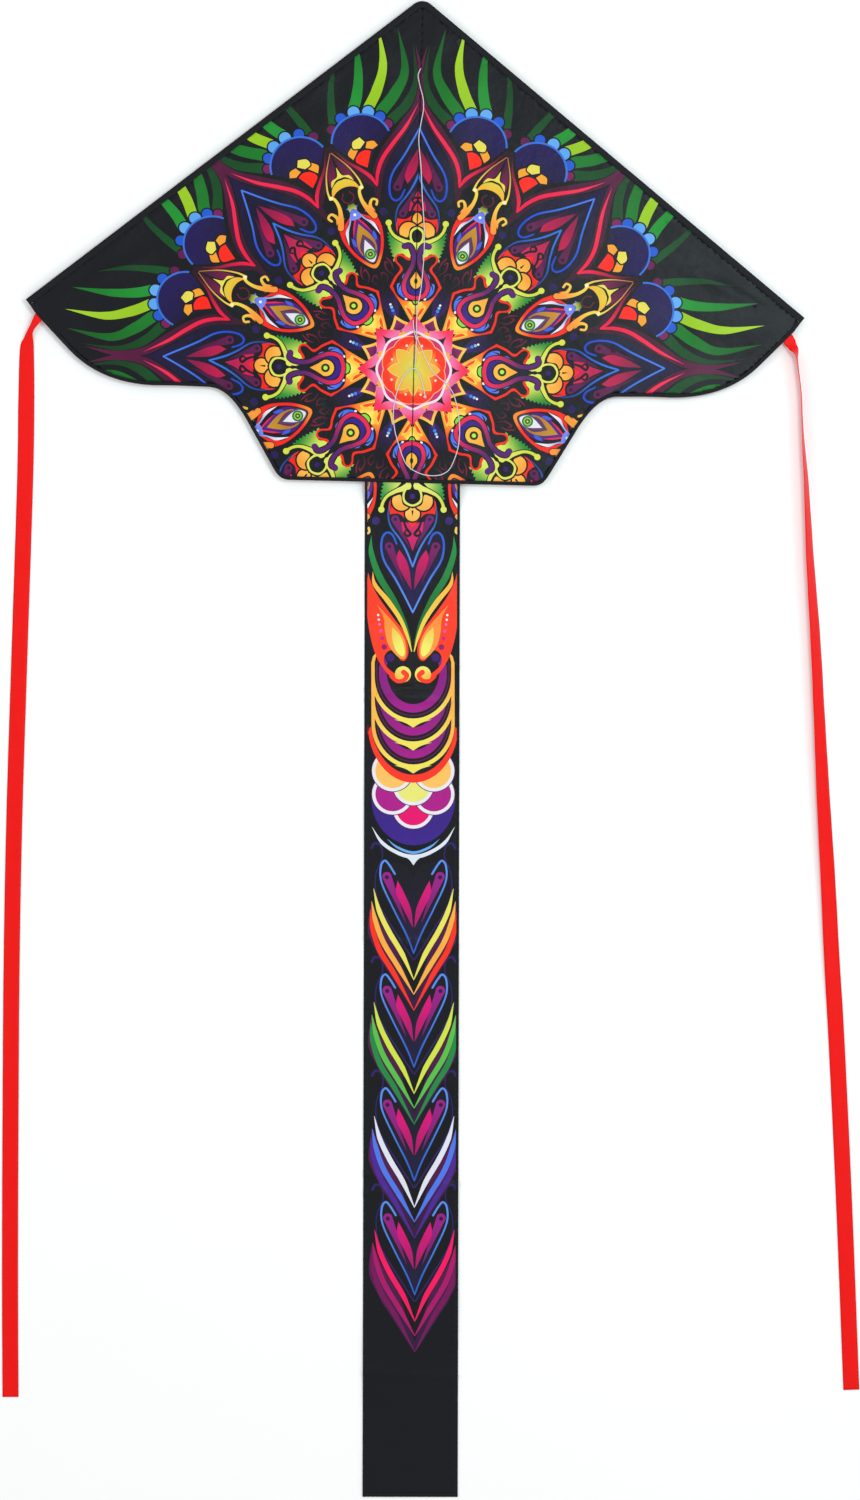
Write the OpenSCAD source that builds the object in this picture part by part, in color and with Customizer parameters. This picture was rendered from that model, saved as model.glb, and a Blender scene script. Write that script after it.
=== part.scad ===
// Delta kite: two printed sail panels on a folding rod frame, a long fabric tail, two ribbon
// streamers and a two-leg line bridle, laid flat with its printed face up.
// Origin: on the surface it lies on, under the lower bridle tie. +Y to the nose, +Z up.

/* [Sail] */
// Half of the wing span, to the corner of the wing tip
half_span = 584.5; // [560:1:610]
// Height of the nose above the lower bridle tie
nose_y = 551; // [530:1:570]
// Radius of the rounded nose
nose_r = 20; // [18:1:22]
// Height of the wing-tip corner above the lower bridle tie
tip_y = 89.4; // [70:0.1:110]
// Distance from the lower bridle tie down to the trailing edge at the centre
trail_drop = 172; // [165:1:180]
// Thickness of the sail cloth, as modelled
cloth_t = 0.5; // [0.4:0.1:0.5]
// Width of the sewn trailing hem
hem_w = 5.5; // [4:0.5:7]
// Width of the leading-edge rod sleeve
sleeve_w = 10; // [10:1:12]
// Half of the width between the two fold lines beside the spine pocket
fold_x = 12; // [11:0.5:12]

/* [Frame] */
// Diameter of the spine rod, the two leading rods and the spreader rod
rod_d = 4; // [3:0.5:4]
// Wall of the soft caps on the rod ends
cap_wall = 0.8; // [0.6:0.1:0.8]
// Distance from the nose along a leading edge to the middle of the spreader fitting
fitting_s = 413; // [380:1:440]
// Clearance of a rod in a fitting
rod_gap = 0.06; // [0.02:0.01:0.1]

/* [Bridle] */
// Diameter of the bridle and leader line
line_d = 1.4; // [1:0.1:1.6]
// Height of the upper bridle tie above the lower one
upper_tie_y = 450; // [440:1:460]

/* [Tail and ribbons] */
// Width of the fabric tail over its hems
tail_w = 143; // [130:1:150]
// Length of the tail that shows below the trailing edge
tail_len = 1523; // [1400:1:1600]
// Lean of the tail where it lies, in degrees
tail_lean = 1.24; // [0:0.01:2]
// Width of the tail's side hems
tail_hem_w = 4; // [3:0.5:6]
// Width of a ribbon streamer
ribbon_w = 24; // [20:1:26]

/* [Hidden] */
$fn = 48;

// Heights of the layers above the surface the kite lies on
rod_r = rod_d / 2;
spreader_z = rod_r;
spine_z = 7.4;
leading_z = 8;
sail_z = 11;
sail_top = sail_z + cloth_t;
hem_z = sail_z - 0.3;
tuck_z = 9.9;
bore_r = rod_r + rod_gap;
cap_r = rod_r + cap_wall;
line_r = line_d / 2;

// The leading edge runs straight from the fold line to the tip
nose_centre_y = nose_y - nose_r;
lead_start = [fold_x, nose_centre_y + sqrt(nose_r * nose_r - fold_x * fold_x)];
lead_tip = [half_span, tip_y];
lead_len = norm(lead_tip - lead_start);
along = (lead_tip - lead_start) / lead_len;
inward = [along[1], -along[0]];
lead_turn = atan2(along[1], along[0]);
rod_inset = sleeve_w / 2;
fitting_at = lead_start + along * fitting_s + inward * rod_inset;
fitting_x = fitting_at[0];
spreader_y = fitting_at[1];
spreader_half = fitting_x - 8;
sleeve_slope_y = sleeve_w / along[0];

// Places along the spine
lower_tie_y = 3.4;
spine_top = 528;
spine_bottom = -149;
pocket_top = 515;
pocket_bottom = -138;
cap_len = 12;

// Places along a leading edge, from the fold line
nose_cap_s = 9.5;
tip_cap_s = lead_len - 15;
tip_wall = 3.3;
window_half = 25;
collar_half = 13;

// A point at t on the cubic curve with end points a, d and handles b, c
function bend(a, b, c, d, t) =
    pow(1 - t, 3) * a + 3 * pow(1 - t, 2) * t * b + 3 * (1 - t) * t * t * c + pow(t, 3) * d;
// The curve from a to d without its last point, in n steps
function bends(a, b, c, d, n) = [for (i = [0 : n - 1]) bend(a, b, c, d, i / n)];

// Trailing edge of the right wing from the sleeve at the tip to the fold line
trail = concat(
    [lead_tip + inward * sleeve_w, [568.5, 67.8]],
    bends([517.5, 15.3], [475, -28], [420, -35], [385, -35], 8),
    bends([385, -35], [355, -34], [335, -35], [305, -35.5], 2),
    bends([305, -35.5], [280, -37], [262, -62], [247, -86], 8),
    bends([207, -155], [200, -167], [194, -trail_drop], [182, -trail_drop], 5),
    [[182, -trail_drop], [fold_x, -trail_drop]]
);

// Unit normal of the step from a to b, pointing into the sail
function side(a, b) = let (d = (b - a) / norm(b - a)) [d[1], -d[0]];
// Line p moved into the sail by w, with mitred corners
function inset(p, w) = let (n = len(p)) [
    for (i = [0 : n - 1])
        let (
            before = i == 0 ? side(p[0], p[1]) : side(p[i - 1], p[i]),
            after = i == n - 1 ? before : side(p[i], p[i + 1]),
            mid = (before + after) / norm(before + after)
        )
        p[i] + mid * w / (mid * before)
];
function turned(p) = [for (i = [len(p) - 1 : -1 : 0]) p[i]];
hem_inner = inset(trail, hem_w);

// Arc of radius r about the nose centre, from angle a to angle b
function nose_arc(r, a, b, n = 12) = [
    for (i = [0 : n]) let (t = a + (b - a) * i / n) [r * cos(t), nose_centre_y + r * sin(t)]
];
nose_edge_turn = acos(fold_x / nose_r);
nose_inner_turn = 90 + lead_turn;

// Closed solid through rings of equal point counts; other_way turns the split of the top of a strip
module loft(rings, other_way = -1) {
    sides = len(rings[0]);
    last = len(rings) - 1;
    points = [for (ring = rings) each ring];
    walls = [
        for (i = [0 : last - 1], k = [0 : sides - 1])
            let (m = (k + 1) % sides, a = i * sides, b = a + sides)
            each k == other_way
                ? [[a + k, a + m, b + k], [a + m, b + m, b + k]]
                : [[a + k, a + m, b + m], [a + k, b + m, b + k]]
    ];
    start = [for (k = [sides - 1 : -1 : 0]) k];
    finish = [for (k = [0 : sides - 1]) last * sides + k];
    polyhedron(points, concat([start], walls, [finish]), convexity = 8);
}

// Direction of a path at its point i
function heading(p, i) =
    let (a = p[max(i - 1, 0)], b = p[min(i + 1, len(p) - 1)]) (b - a) / norm(b - a);

// Line of round section along a path
function line_rings(p, r, sides = 8) = [
    for (i = [0 : len(p) - 1])
        let (
            f = heading(p, i),
            flat = cross([0, 0, 1], f),
            u = flat / norm(flat),
            v = cross(f, u)
        )
        [for (k = [0 : sides - 1]) p[i] + r * (cos(360 * k / sides) * u + sin(360 * k / sides) * v)]
];

// Ribbon along rows of x, y, z, width and roll: the roll lifts the ribbon onto its edge
function ribbon_rings(rows, t) = let (p = [for (r = rows) [r[0], r[1], r[2]]]) [
    for (i = [0 : len(rows) - 1])
        let (
            f = heading(p, i),
            flat = cross(f, [0, 0, 1]),
            u = flat / norm(flat),
            up = cross(u, f),
            a = rows[i][4],
            across = cos(a) * u + sin(a) * up,
            through = -sin(a) * u + cos(a) * up,
            half = rows[i][3] / 2
        )
        [
            p[i] - across * half,
            p[i] + across * half,
            p[i] + across * half + through * t,
            p[i] - across * half + through * t
        ]
];

// Routes of the lines, chosen as they lie on the face
upper_leg_route = [
    [0, 450, 10.5], [-0.8, 448.4, 13.2], [-2.6, 444, 13.2], [-4, 438, 12.7], [-1, 424, 12.6],
    [4.2, 405, 12.6], [5.2, 388, 12.6], [1.6, 365, 12.6], [-0.7, 345, 12.6], [1, 324, 12.6],
    [3.5, 303, 12.6], [6.7, 256, 12.6], [9.6, 224, 12.6], [11.3, 195, 12.6], [11, 165, 12.6],
    [9.6, 140, 12.6], [7.4, 115, 12.6], [3.4, 90, 12.6], [2.6, 66, 12.8], [3.3, 47, 13]
];
lower_leg_route = [
    [3.4, 43, 13], [2.9, 30, 12.6], [2.6, 17, 12.7], [2, 8.5, 13], [1.2, 5, 12.8],
    [0.8, 3.4, 10.5]
];
leader_route = [
    [4.8, 43, 13], [10.5, 31, 12.6], [18, 14, 12.5], [27.5, -3, 12.5], [38, -13.5, 12.5],
    [49, -22, 12.5], [58, -33, 12.5], [64, -48, 12.5], [69, -70, 12.5], [71, -92, 12.5],
    [70, -112, 12.5], [66, -130, 12.5], [58, -149, 12.5], [48, -157.5, 12.5],
    [36, -160.5, 12.5], [22, -160, 12.5], [10, -156.5, 12.5], [-2, -150, 12.6],
    [-11, -139, 12.5], [-19, -118, 12.5], [-26, -95, 12.5], [-29, -71, 12.5],
    [-27, -48, 12.5], [-21, -26, 12.5], [-13.5, -11, 12.6], [-7, -3, 13.2],
    [0.6, -0.4, 13.8], [6, -5, 13.2], [11, -16, 12.5], [15.4, -29, 12.5], [17.6, -41, 12.6]
];
knot_tail_route = [[1.9, 45.4, 14.3], [-0.2, 53, 15], [-1.8, 63, 13.6], [-2.6, 72, 12.6]];

// Ribbon rows: x, y, z of the underside's middle, width and roll in degrees
left_ribbon_rows = [
    [-560, 70, 9.9, 14, 0], [-566, 61, 9.7, 14, 0], [-573, 50, 8, 9, 0], [-578, 40, 5, 9, 0],
    [-580, 28, 1.6, 16, 0], [-582, 14, 0, 21, 0], [-581, -60, 0, 24, 0], [-580, -180, 0, 24, 0],
    [-582, -420, 0, 24, 0], [-584, -680, 0, 24, 0], [-583, -900, 0, 24, 0],
    [-579, -1140, 0, 24, 0], [-574, -1380, 0, 24, 0], [-569, -1559, 0, 24, 0]
];
right_ribbon_rows = [
    [554, 68, 9.9, 14, 0], [560, 58, 9.7, 16, 0], [563.8, 51.5, 9.7, 16, 0], [567, 46, 10.8, 15, 18],
    [573, 34, 12.3, 24, 72],
    [577, 8, 12.3, 24, 80], [582, -30, 12.3, 24, 80], [585, -80, 12.2, 24, 78],
    [592, -154, 11.8, 24, 68], [601, -273, 10.6, 24, 56], [612, -393, 9.3, 24, 46],
    [621, -513, 8.3, 24, 40], [630, -633, 6.2, 24, 29], [640, -753, 4.3, 24, 19],
    [649, -873, 2.4, 24, 10], [659, -993, 0.5, 24, 0], [676, -1232, 0.2, 24, 0],
    [694, -1518, 0, 24, 0]
];

// Section shapes across a rod, the second value being the height
spine_section = [
    [-9, 11], [-9, 10.6], [-4.6, 5.2], [-2.4, 4.6], [2.4, 4.6], [4.6, 5.2], [9, 10.6], [9, 11]
];
spine_end_section = [
    [-9, 11], [-9, 10.6], [-5.2, 4.8], [-3, 4.1], [3, 4.1], [5.2, 4.8], [9, 10.6], [9, 11]
];
sleeve_section = [
    [0, 8.6], [0.9, 10.6], [2, sail_top], [sleeve_w, sail_top], [sleeve_w, 10.9], [8.6, 7],
    [7.2, 5.2], [6, 4.6], [4, 4.6], [2.6, 5.2], [1, 6.6]
];

// Cylinder along Y from y0 to y1 at the spine rod's height
module along_spine(r, y0, y1) {
    translate([0, y0, spine_z]) rotate([-90, 0, 0]) cylinder(h = y1 - y0, r = r);
}
// Prism of a section along Y from y0 to y1
module spine_prism(section, y0, y1) {
    translate([0, y1, 0]) rotate([90, 0, 0]) linear_extrude(height = y1 - y0) polygon(section);
}
// Leading-edge frame: +X along the edge, -Y into the sail
module on_leading_edge() {
    translate([lead_start[0], lead_start[1], 0]) rotate([0, 0, lead_turn]) children();
}
// Cylinder along the leading rod's axis from s0 to s1
module along_lead(r, s0, s1) {
    translate([s0, -rod_inset, leading_z]) rotate([0, 90, 0]) cylinder(h = s1 - s0, r = r);
}
// The same piece on the other wing
module other_wing() {
    mirror([1, 0, 0]) children();
}

// ---- spine and the middle of the sail ----
module spine_rod() {
    color("dimgray") along_spine(rod_r, spine_bottom, spine_top);
}
module spine_cap(closed_y, open_y, y0, y1) {
    difference() {
        along_spine(cap_r, min(closed_y, open_y), max(closed_y, open_y));
        along_spine(rod_r, y0, y1);
    }
}
module spine_nose_cap() {
    color("black") spine_cap(spine_top + 1.5, spine_top + 1.5 - cap_len, spine_top - 20, spine_top);
}
module spine_tail_cap() {
    color("black")
        spine_cap(spine_bottom - 1.5, spine_bottom - 1.5 + cap_len, spine_bottom, spine_bottom + 20);
}
// Room for the line that is tied round the rod, and the slit it comes up through
module tie_room(y) {
    along_spine(3.8, y - 4, y + 4);
    translate([0, y, spine_z]) cylinder(h = 8, r = 2);
}
module spine_pocket() {
    color("#15161a") difference() {
        spine_prism(spine_section, pocket_bottom, pocket_top);
        along_spine(bore_r, pocket_bottom - 1, pocket_top + 1);
        tie_room(upper_tie_y);
        tie_room(lower_tie_y);
    }
}
module nose_pocket() {
    color("#15161a") difference() {
        spine_prism(spine_end_section, pocket_top, spine_top + 3.5);
        along_spine(cap_r + rod_gap, pocket_top - 1, spine_top + 1.6);
    }
}
module pocket_end_tape() {
    color("#15161a") difference() {
        spine_prism(spine_end_section, spine_bottom - 3, pocket_bottom);
        along_spine(cap_r + rod_gap, spine_bottom - 1.6, pocket_bottom + 1);
    }
}
module nose_inside() {
    polygon(concat(
        [[fold_x, -trail_drop + hem_w], [fold_x, lead_start[1] - sleeve_slope_y]],
        nose_arc(nose_r - sleeve_w, nose_inner_turn, 180 - nose_inner_turn),
        [[-fold_x, lead_start[1] - sleeve_slope_y], [-fold_x, -trail_drop + hem_w]]
    ));
}
module line_slits() {
    for (y = [lower_tie_y, upper_tie_y]) translate([0, y, sail_z - 1]) cylinder(h = 3, r = 2);
}
module centre_panel() {
    color("#2a1230") difference() {
        translate([0, 0, sail_z]) linear_extrude(height = cloth_t) nose_inside();
        line_slits();
    }
}
module centre_seam() {
    color("#101014") difference() {
        translate([-0.8, -trail_drop + hem_w, sail_top])
            cube([1.6, nose_y - sleeve_w + trail_drop - hem_w - 1, 0.3]);
        line_slits();
    }
}
module nose_binding() {
    color("#15161a") translate([0, 0, hem_z]) linear_extrude(height = sail_top - hem_z)
        difference() {
            polygon(concat(
                [[fold_x, lead_start[1] - sleeve_slope_y]],
                nose_arc(nose_r, nose_edge_turn, 180 - nose_edge_turn),
                [[-fold_x, lead_start[1] - sleeve_slope_y]]
            ));
            nose_inside();
        }
}
module centre_hem() {
    color("#15161a") translate([-fold_x, -trail_drop, hem_z])
        cube([2 * fold_x, hem_w, sail_top - hem_z]);
}

// ---- bridle, leader and their knots ----
// Turn of line round the spine rod, inside the pocket
module tie(y) {
    color("gainsboro") translate([0, y, spine_z]) rotate([-90, 0, 0])
        rotate_extrude() translate([rod_r + 0.05 + line_r, 0]) circle(r = line_r, $fn = 24);
}
module upper_bridle_tie() { tie(upper_tie_y); }
module lower_bridle_tie() { tie(lower_tie_y); }
module tow_knot() {
    color("gainsboro") translate([3.4, 45, 13.7]) sphere(r = 2.2, $fn = 24);
}
module leader_end_knot() {
    color("gainsboro") translate([17.8, -42.6, 13.4]) sphere(r = 1.8, $fn = 24);
}
module bridle_upper_leg() { color("gainsboro") loft(line_rings(upper_leg_route, line_r)); }
module bridle_lower_leg() { color("gainsboro") loft(line_rings(lower_leg_route, line_r)); }
module tow_leader() { color("gainsboro") loft(line_rings(leader_route, line_r)); }
module tow_knot_tail() { color("gainsboro") loft(line_rings(knot_tail_route, line_r)); }

// ---- one wing: the right one, and its mirror image ----
module sail_panel() {
    color("#2a1230") translate([0, 0, sail_z]) linear_extrude(height = cloth_t)
        polygon(concat(
            [[fold_x, lead_start[1] - sleeve_slope_y]],
            hem_inner
        ));
}
module leading_sleeve() {
    color("#15161a") difference() {
        on_leading_edge() difference() {
            translate([-20, 0, 0]) rotate([90, 0, 90])
                linear_extrude(height = lead_len + 20)
                    polygon([for (p = sleeve_section) [-p[0], p[1]]]);
            along_lead(bore_r, 15, lead_len - 10);
            along_lead(cap_r + rod_gap, nose_cap_s - 0.6, nose_cap_s + cap_len + 1);
            along_lead(cap_r + rod_gap, tip_cap_s - 1, lead_len - tip_wall + 0.2);
            translate([fitting_s - window_half, -sleeve_w - 1, 0])
                cube([2 * window_half, sleeve_w + 2, sail_z]);
        }
        translate([fold_x - 60, nose_y - 60, 0]) cube([60, 80, 20]);
    }
}
module leading_rod() {
    color("dimgray") on_leading_edge() along_lead(rod_r, nose_cap_s + 1.5, lead_len - tip_wall - 1.5);
}
module leading_nose_cap() {
    color("black") on_leading_edge() difference() {
        along_lead(cap_r, nose_cap_s, nose_cap_s + cap_len);
        along_lead(rod_r, nose_cap_s + 1.5, nose_cap_s + 30);
    }
}
module leading_tip_cap() {
    color("black") on_leading_edge() difference() {
        along_lead(cap_r, tip_cap_s, lead_len - tip_wall);
        along_lead(rod_r, tip_cap_s - 20, lead_len - tip_wall - 1.5);
    }
}
module trailing_hem() {
    color("#15161a") translate([0, 0, hem_z]) linear_extrude(height = sail_top - hem_z)
        polygon(concat(trail, turned(hem_inner)));
}
module tip_patch() {
    color("#1b1c22") on_leading_edge() translate([0, 0, sail_z - 0.5]) linear_extrude(height = 0.5)
        polygon([
            [lead_len - 44, -sleeve_w - 0.2],
            [lead_len - hem_w - 1, -sleeve_w - 0.2],
            [lead_len - hem_w - 1, -sleeve_w - 24]
        ]);
}
module spreader_fitting() {
    color("#1c1c1e") difference() {
        union() {
            on_leading_edge() along_lead(3, fitting_s - collar_half, fitting_s + collar_half);
            translate([fitting_x - 26, spreader_y - 4.2, 0.4]) cube([28, 8.4, 6]);
        }
        on_leading_edge() along_lead(bore_r, fitting_s - 30, fitting_s + 30);
        translate([fitting_x - 27, spreader_y, spreader_z]) rotate([0, 90, 0])
            cylinder(h = 19.3, r = bore_r);
        translate([fitting_x - 27, spreader_y - bore_r, -1]) cube([19.3, 2 * bore_r, 1 + spreader_z]);
    }
}
module fitting_stops() {
    color("#26262a") on_leading_edge() for (s = [fitting_s - 21, fitting_s + 14]) difference() {
        along_lead(2.9, s, s + 7);
        along_lead(bore_r, s - 1, s + 8);
    }
}

// ---- streamers, spreader and tail ----
module left_ribbon() { color("red") loft(ribbon_rings(left_ribbon_rows, cloth_t), 2); }
module right_ribbon() { color("red") loft(ribbon_rings(right_ribbon_rows, cloth_t), 2); }
module spreader_rod() {
    color("dimgray") translate([-spreader_half, spreader_y, spreader_z]) rotate([0, 90, 0])
        cylinder(h = 2 * spreader_half, r = rod_r);
}
// Height of the tail's underside: level under the hem, then an easy drop to the surface
tail_tuck = 12;
drop_start = 2;
drop_len = 46;
function drop(d) = let (t = min(max((d - drop_start) / drop_len, 0), 1))
    tuck_z * (1 - t * t * (3 - 2 * t));
// Strip of the tail from distance d0 to d1 below the trailing edge, x0 to x1 across
module tail_strip(x0, x1, d0, d1, below, thick) {
    steps = [for (d = [d0, for (k = [0 : 10]) drop_start + drop_len * k / 10, d1])
        if (d >= d0 && d <= d1) d];
    rows = [for (i = [0 : len(steps) - 1]) if (i == 0 || steps[i] > steps[i - 1]) steps[i]];
    under = [for (d = rows) [-d, max(drop(d) - below, 0)]];
    over = [for (i = [len(rows) - 1 : -1 : 0]) [-rows[i], drop(rows[i]) - below + thick]];
    translate([2, -trail_drop, 0]) rotate([0, 0, tail_lean])
        translate([x0, 0, 0]) rotate([90, 0, 90]) linear_extrude(height = x1 - x0)
            polygon(concat(under, over));
}
tail_inner = tail_w / 2 - tail_hem_w;
tail_end = tail_len - 6;
module tail_panel() {
    color("#2a1230") tail_strip(-tail_inner, tail_inner, -tail_tuck + 5, tail_end, 0, cloth_t);
}
module tail_top_hem() {
    color("#15161a") tail_strip(-tail_w / 2, tail_w / 2, -tail_tuck, -tail_tuck + 5, 0.3, 0.8);
}
module tail_left_hem() {
    color("#15161a") tail_strip(-tail_w / 2, -tail_inner, -tail_tuck + 5, tail_end, 0, cloth_t);
}
module tail_right_hem() {
    color("#15161a") tail_strip(tail_inner, tail_w / 2, -tail_tuck + 5, tail_end, 0, cloth_t);
}
module tail_end_hem() {
    color("#15161a") tail_strip(-tail_w / 2, tail_w / 2, tail_end, tail_len, 0, 0.8);
}

spine_rod();
spine_nose_cap();
spine_tail_cap();
spine_pocket();
nose_pocket();
pocket_end_tape();
centre_panel();
centre_seam();
nose_binding();
centre_hem();
upper_bridle_tie();
lower_bridle_tie();
tow_knot();
leader_end_knot();
bridle_upper_leg();
bridle_lower_leg();
tow_leader();
tow_knot_tail();
other_wing() sail_panel();  // left_sail_panel
other_wing() leading_sleeve();  // left_leading_sleeve
other_wing() leading_rod();  // left_leading_rod
other_wing() leading_nose_cap();  // left_nose_cap
other_wing() leading_tip_cap();  // left_tip_cap
other_wing() trailing_hem();  // left_trailing_hem
other_wing() tip_patch();  // left_tip_patch
other_wing() spreader_fitting();  // left_spreader_fitting
other_wing() fitting_stops();  // left_fitting_stops
sail_panel();  // right_sail_panel
leading_sleeve();  // right_leading_sleeve
leading_rod();  // right_leading_rod
leading_nose_cap();  // right_nose_cap
leading_tip_cap();  // right_tip_cap
trailing_hem();  // right_trailing_hem
tip_patch();  // right_tip_patch
spreader_fitting();  // right_spreader_fitting
fitting_stops();  // right_fitting_stops
left_ribbon();
right_ribbon();
spreader_rod();
tail_panel();
tail_top_hem();
tail_left_hem();
tail_right_hem();
tail_end_hem();
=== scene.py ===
# %% [markdown]
# # A delta kite, laid flat
# A delta kite is two triangles of light cloth sewn together over a folding frame of thin rods. This
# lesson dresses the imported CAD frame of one: the rods, caps and fittings stay as they are and get
# their finishes, and every piece of cloth, ribbon and line is made again as the thing it really is.
# Each surface is a function of two parameters worked out with numpy, in metres, in the CAD's frame.

import bmesh
import bpy
import mathutils
import numpy as np
from mathutils.geometry import delaunay_2d_cdt
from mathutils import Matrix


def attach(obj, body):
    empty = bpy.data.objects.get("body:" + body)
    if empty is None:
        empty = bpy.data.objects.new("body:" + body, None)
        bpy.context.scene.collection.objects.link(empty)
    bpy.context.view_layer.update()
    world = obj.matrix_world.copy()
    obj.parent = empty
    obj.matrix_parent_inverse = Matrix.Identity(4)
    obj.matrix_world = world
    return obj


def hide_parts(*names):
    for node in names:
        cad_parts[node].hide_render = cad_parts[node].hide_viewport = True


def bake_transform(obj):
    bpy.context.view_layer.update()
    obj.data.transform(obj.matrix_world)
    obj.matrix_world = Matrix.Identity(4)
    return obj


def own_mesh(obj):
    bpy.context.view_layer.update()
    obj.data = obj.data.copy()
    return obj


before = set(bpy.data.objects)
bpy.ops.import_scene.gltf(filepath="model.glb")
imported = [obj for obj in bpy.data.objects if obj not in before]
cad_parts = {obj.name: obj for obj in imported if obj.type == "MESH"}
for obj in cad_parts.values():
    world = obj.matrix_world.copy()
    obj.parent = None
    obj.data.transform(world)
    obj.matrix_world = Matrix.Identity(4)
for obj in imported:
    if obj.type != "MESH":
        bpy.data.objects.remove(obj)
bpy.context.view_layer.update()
MM = 0.001

# %% [markdown]
# ## The camera
# The kite lies on the floor and is looked at from straight above, through a long lens, so that its
# long tail isn't stretched by perspective. A long lens far away is nearly a parallel projection. The
# camera is turned a little more than a degree, because the kite isn't laid quite in line with it.

# %% Camera
VIEW_HEIGHT, DISTANCE, CAMERA_TURN = 2.25, 6.0, 1.37
cam_data = bpy.data.cameras.new("camera")
cam_data.sensor_width = 36
cam_data.lens = cam_data.sensor_width * DISTANCE / VIEW_HEIGHT
camera = bpy.data.objects.new("camera", cam_data)
camera.location = (0.038, -0.572, DISTANCE + 0.0115)
camera.rotation_euler = (0, 0, np.radians(CAMERA_TURN))
bpy.context.scene.collection.objects.link(camera)
bpy.context.scene.camera = camera
print("lens", round(cam_data.lens, 1), "mm")

# %% [markdown]
# ## Meshes from arrays
# Nearly every piece of a kite is a strip or a tube: something carried along a path. A surface on a
# grid needs only its points as an array of rows and columns, and the faces follow from the counting.
# One helper makes the mesh, with a UV map in metres, so that a weave keeps its scale on a curved piece.

# %% Grid helper
def as_piece(name, points, faces, material, uv=None):
    """A mesh object at the origin from arrays: points in metres, faces as rows of indices."""
    mesh = bpy.data.meshes.new(name)
    mesh.from_pydata(np.asarray(points, float), [], faces if isinstance(faces, list) else faces.tolist())
    if uv is not None:
        corners = np.zeros(len(mesh.loops), np.int32)
        mesh.loops.foreach_get("vertex_index", corners)
        layer = mesh.uv_layers.new(name="along_across")
        layer.data.foreach_set("uv", np.asarray(uv, np.float32)[corners].ravel())
    mesh.polygons.foreach_set("use_smooth", np.full(len(mesh.polygons), True))
    mesh.materials.append(material)
    mesh.update()
    piece = bpy.data.objects.new(name, mesh)
    bpy.context.scene.collection.objects.link(piece)
    return piece


def grid_faces(rows, columns, around=False):
    """Quads between neighbouring points of a grid; around joins the last column to the first."""
    i, j = np.meshgrid(np.arange(rows - 1), np.arange(columns if around else columns - 1), indexing="ij")
    k = (j + 1) % columns
    return np.stack([i * columns + j, (i + 1) * columns + j, (i + 1) * columns + k, i * columns + k],
                    -1).reshape(-1, 4)


def arc_length(line):
    """Length along a line of points up to each of them: the running sum of the steps."""
    return np.r_[0, np.cumsum(np.linalg.norm(np.diff(line, axis=0), axis=1))]


def spline(points, per_step=8, closed=False):
    """Catmull-Rom curve: between two points it follows the cubic whose slope at each point is half of
    the step between that point's two neighbours."""
    p = np.asarray(points, float)
    q = np.vstack([p[-1:], p, p[:2]]) if closed else np.vstack([2 * p[0] - p[1], p, 2 * p[-1] - p[-2]])
    a, b, c, d = q[:-3, None], q[1:-2, None], q[2:-1, None], q[3:, None]
    t = np.linspace(0, 1, per_step, endpoint=False)[None, :, None]
    s = 0.5 * (2 * b + (c - a) * t + (2 * a - 5 * b + 4 * c - d) * t ** 2 + (3 * b - 3 * c + d - a) * t ** 3)
    s = s.reshape(-1, p.shape[1])
    return s if closed else np.vstack([s, p[-1:]])


def resample(line, step):
    """The same line with its points a given step apart, by linear interpolation on its length."""
    s = arc_length(line)
    t = np.linspace(0, s[-1], max(2, int(round(s[-1] / step)) + 1))
    return np.stack([np.interp(t, s, line[:, k]) for k in range(line.shape[1])], 1)


def smoothstep(t):
    """0 before 0, 1 after 1, and 3t^2 - 2t^3 between them."""
    t = np.clip(t, 0, 1)
    return t * t * (3 - 2 * t)


# %% Tubes and strips
def frames_along(line):
    """Heading, sideways and up at each point of a line that lies more or less flat: sideways is level
    and square to the heading, and up is square to both."""
    t = np.gradient(line, axis=0)
    t /= np.linalg.norm(t, axis=1, keepdims=True)
    side = np.cross(t, [0, 0, 1.0])
    side /= np.linalg.norm(side, axis=1, keepdims=True)
    return t, side, np.cross(side, t)


def tube(name, line, radius, material, around=8):
    """A round tube on a line: each ring is centre + radius * (cos a * side + sin a * up), and the ends
    close to a point."""
    _, side, up = frames_along(line)
    a = np.linspace(0, 2 * np.pi, around, endpoint=False)
    ring = np.cos(a)[None, :, None] * side[:, None] + np.sin(a)[None, :, None] * up[:, None]
    start, end = (line[k, None, None].repeat(around, 1) for k in (0, -1))
    points = np.concatenate([start, line[:, None] + radius * ring, end])
    s = arc_length(line)
    s = np.r_[0, s, s[-1]]
    uv = np.stack(np.broadcast_arrays(s[:, None], (a * radius)[None]), -1).reshape(-1, 2)
    faces = grid_faces(len(s), around, True)[:, ::-1]
    return close_poles(as_piece(name, points.reshape(-1, 3), faces, material, uv))


def close_poles(piece, distance=2e-6):
    """Merges points that lie in one place, such as a pole's, and drops the faces that vanish."""
    bm = bmesh.new()
    bm.from_mesh(piece.data)
    bmesh.ops.remove_doubles(bm, verts=bm.verts, dist=distance)
    bmesh.ops.recalc_face_normals(bm, faces=bm.faces)
    bm.to_mesh(piece.data)
    bm.free()
    return piece


# %% [markdown]
# ## Colours and finishes
# Colours are written as the sRGB hex triples that a printer would use, and a small function turns them
# into the linear light that a shader works in. A finish is a handful of nodes: a base colour, a fine
# relief, and a roughness that wanders a little, so that no surface is one flat value.

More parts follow.
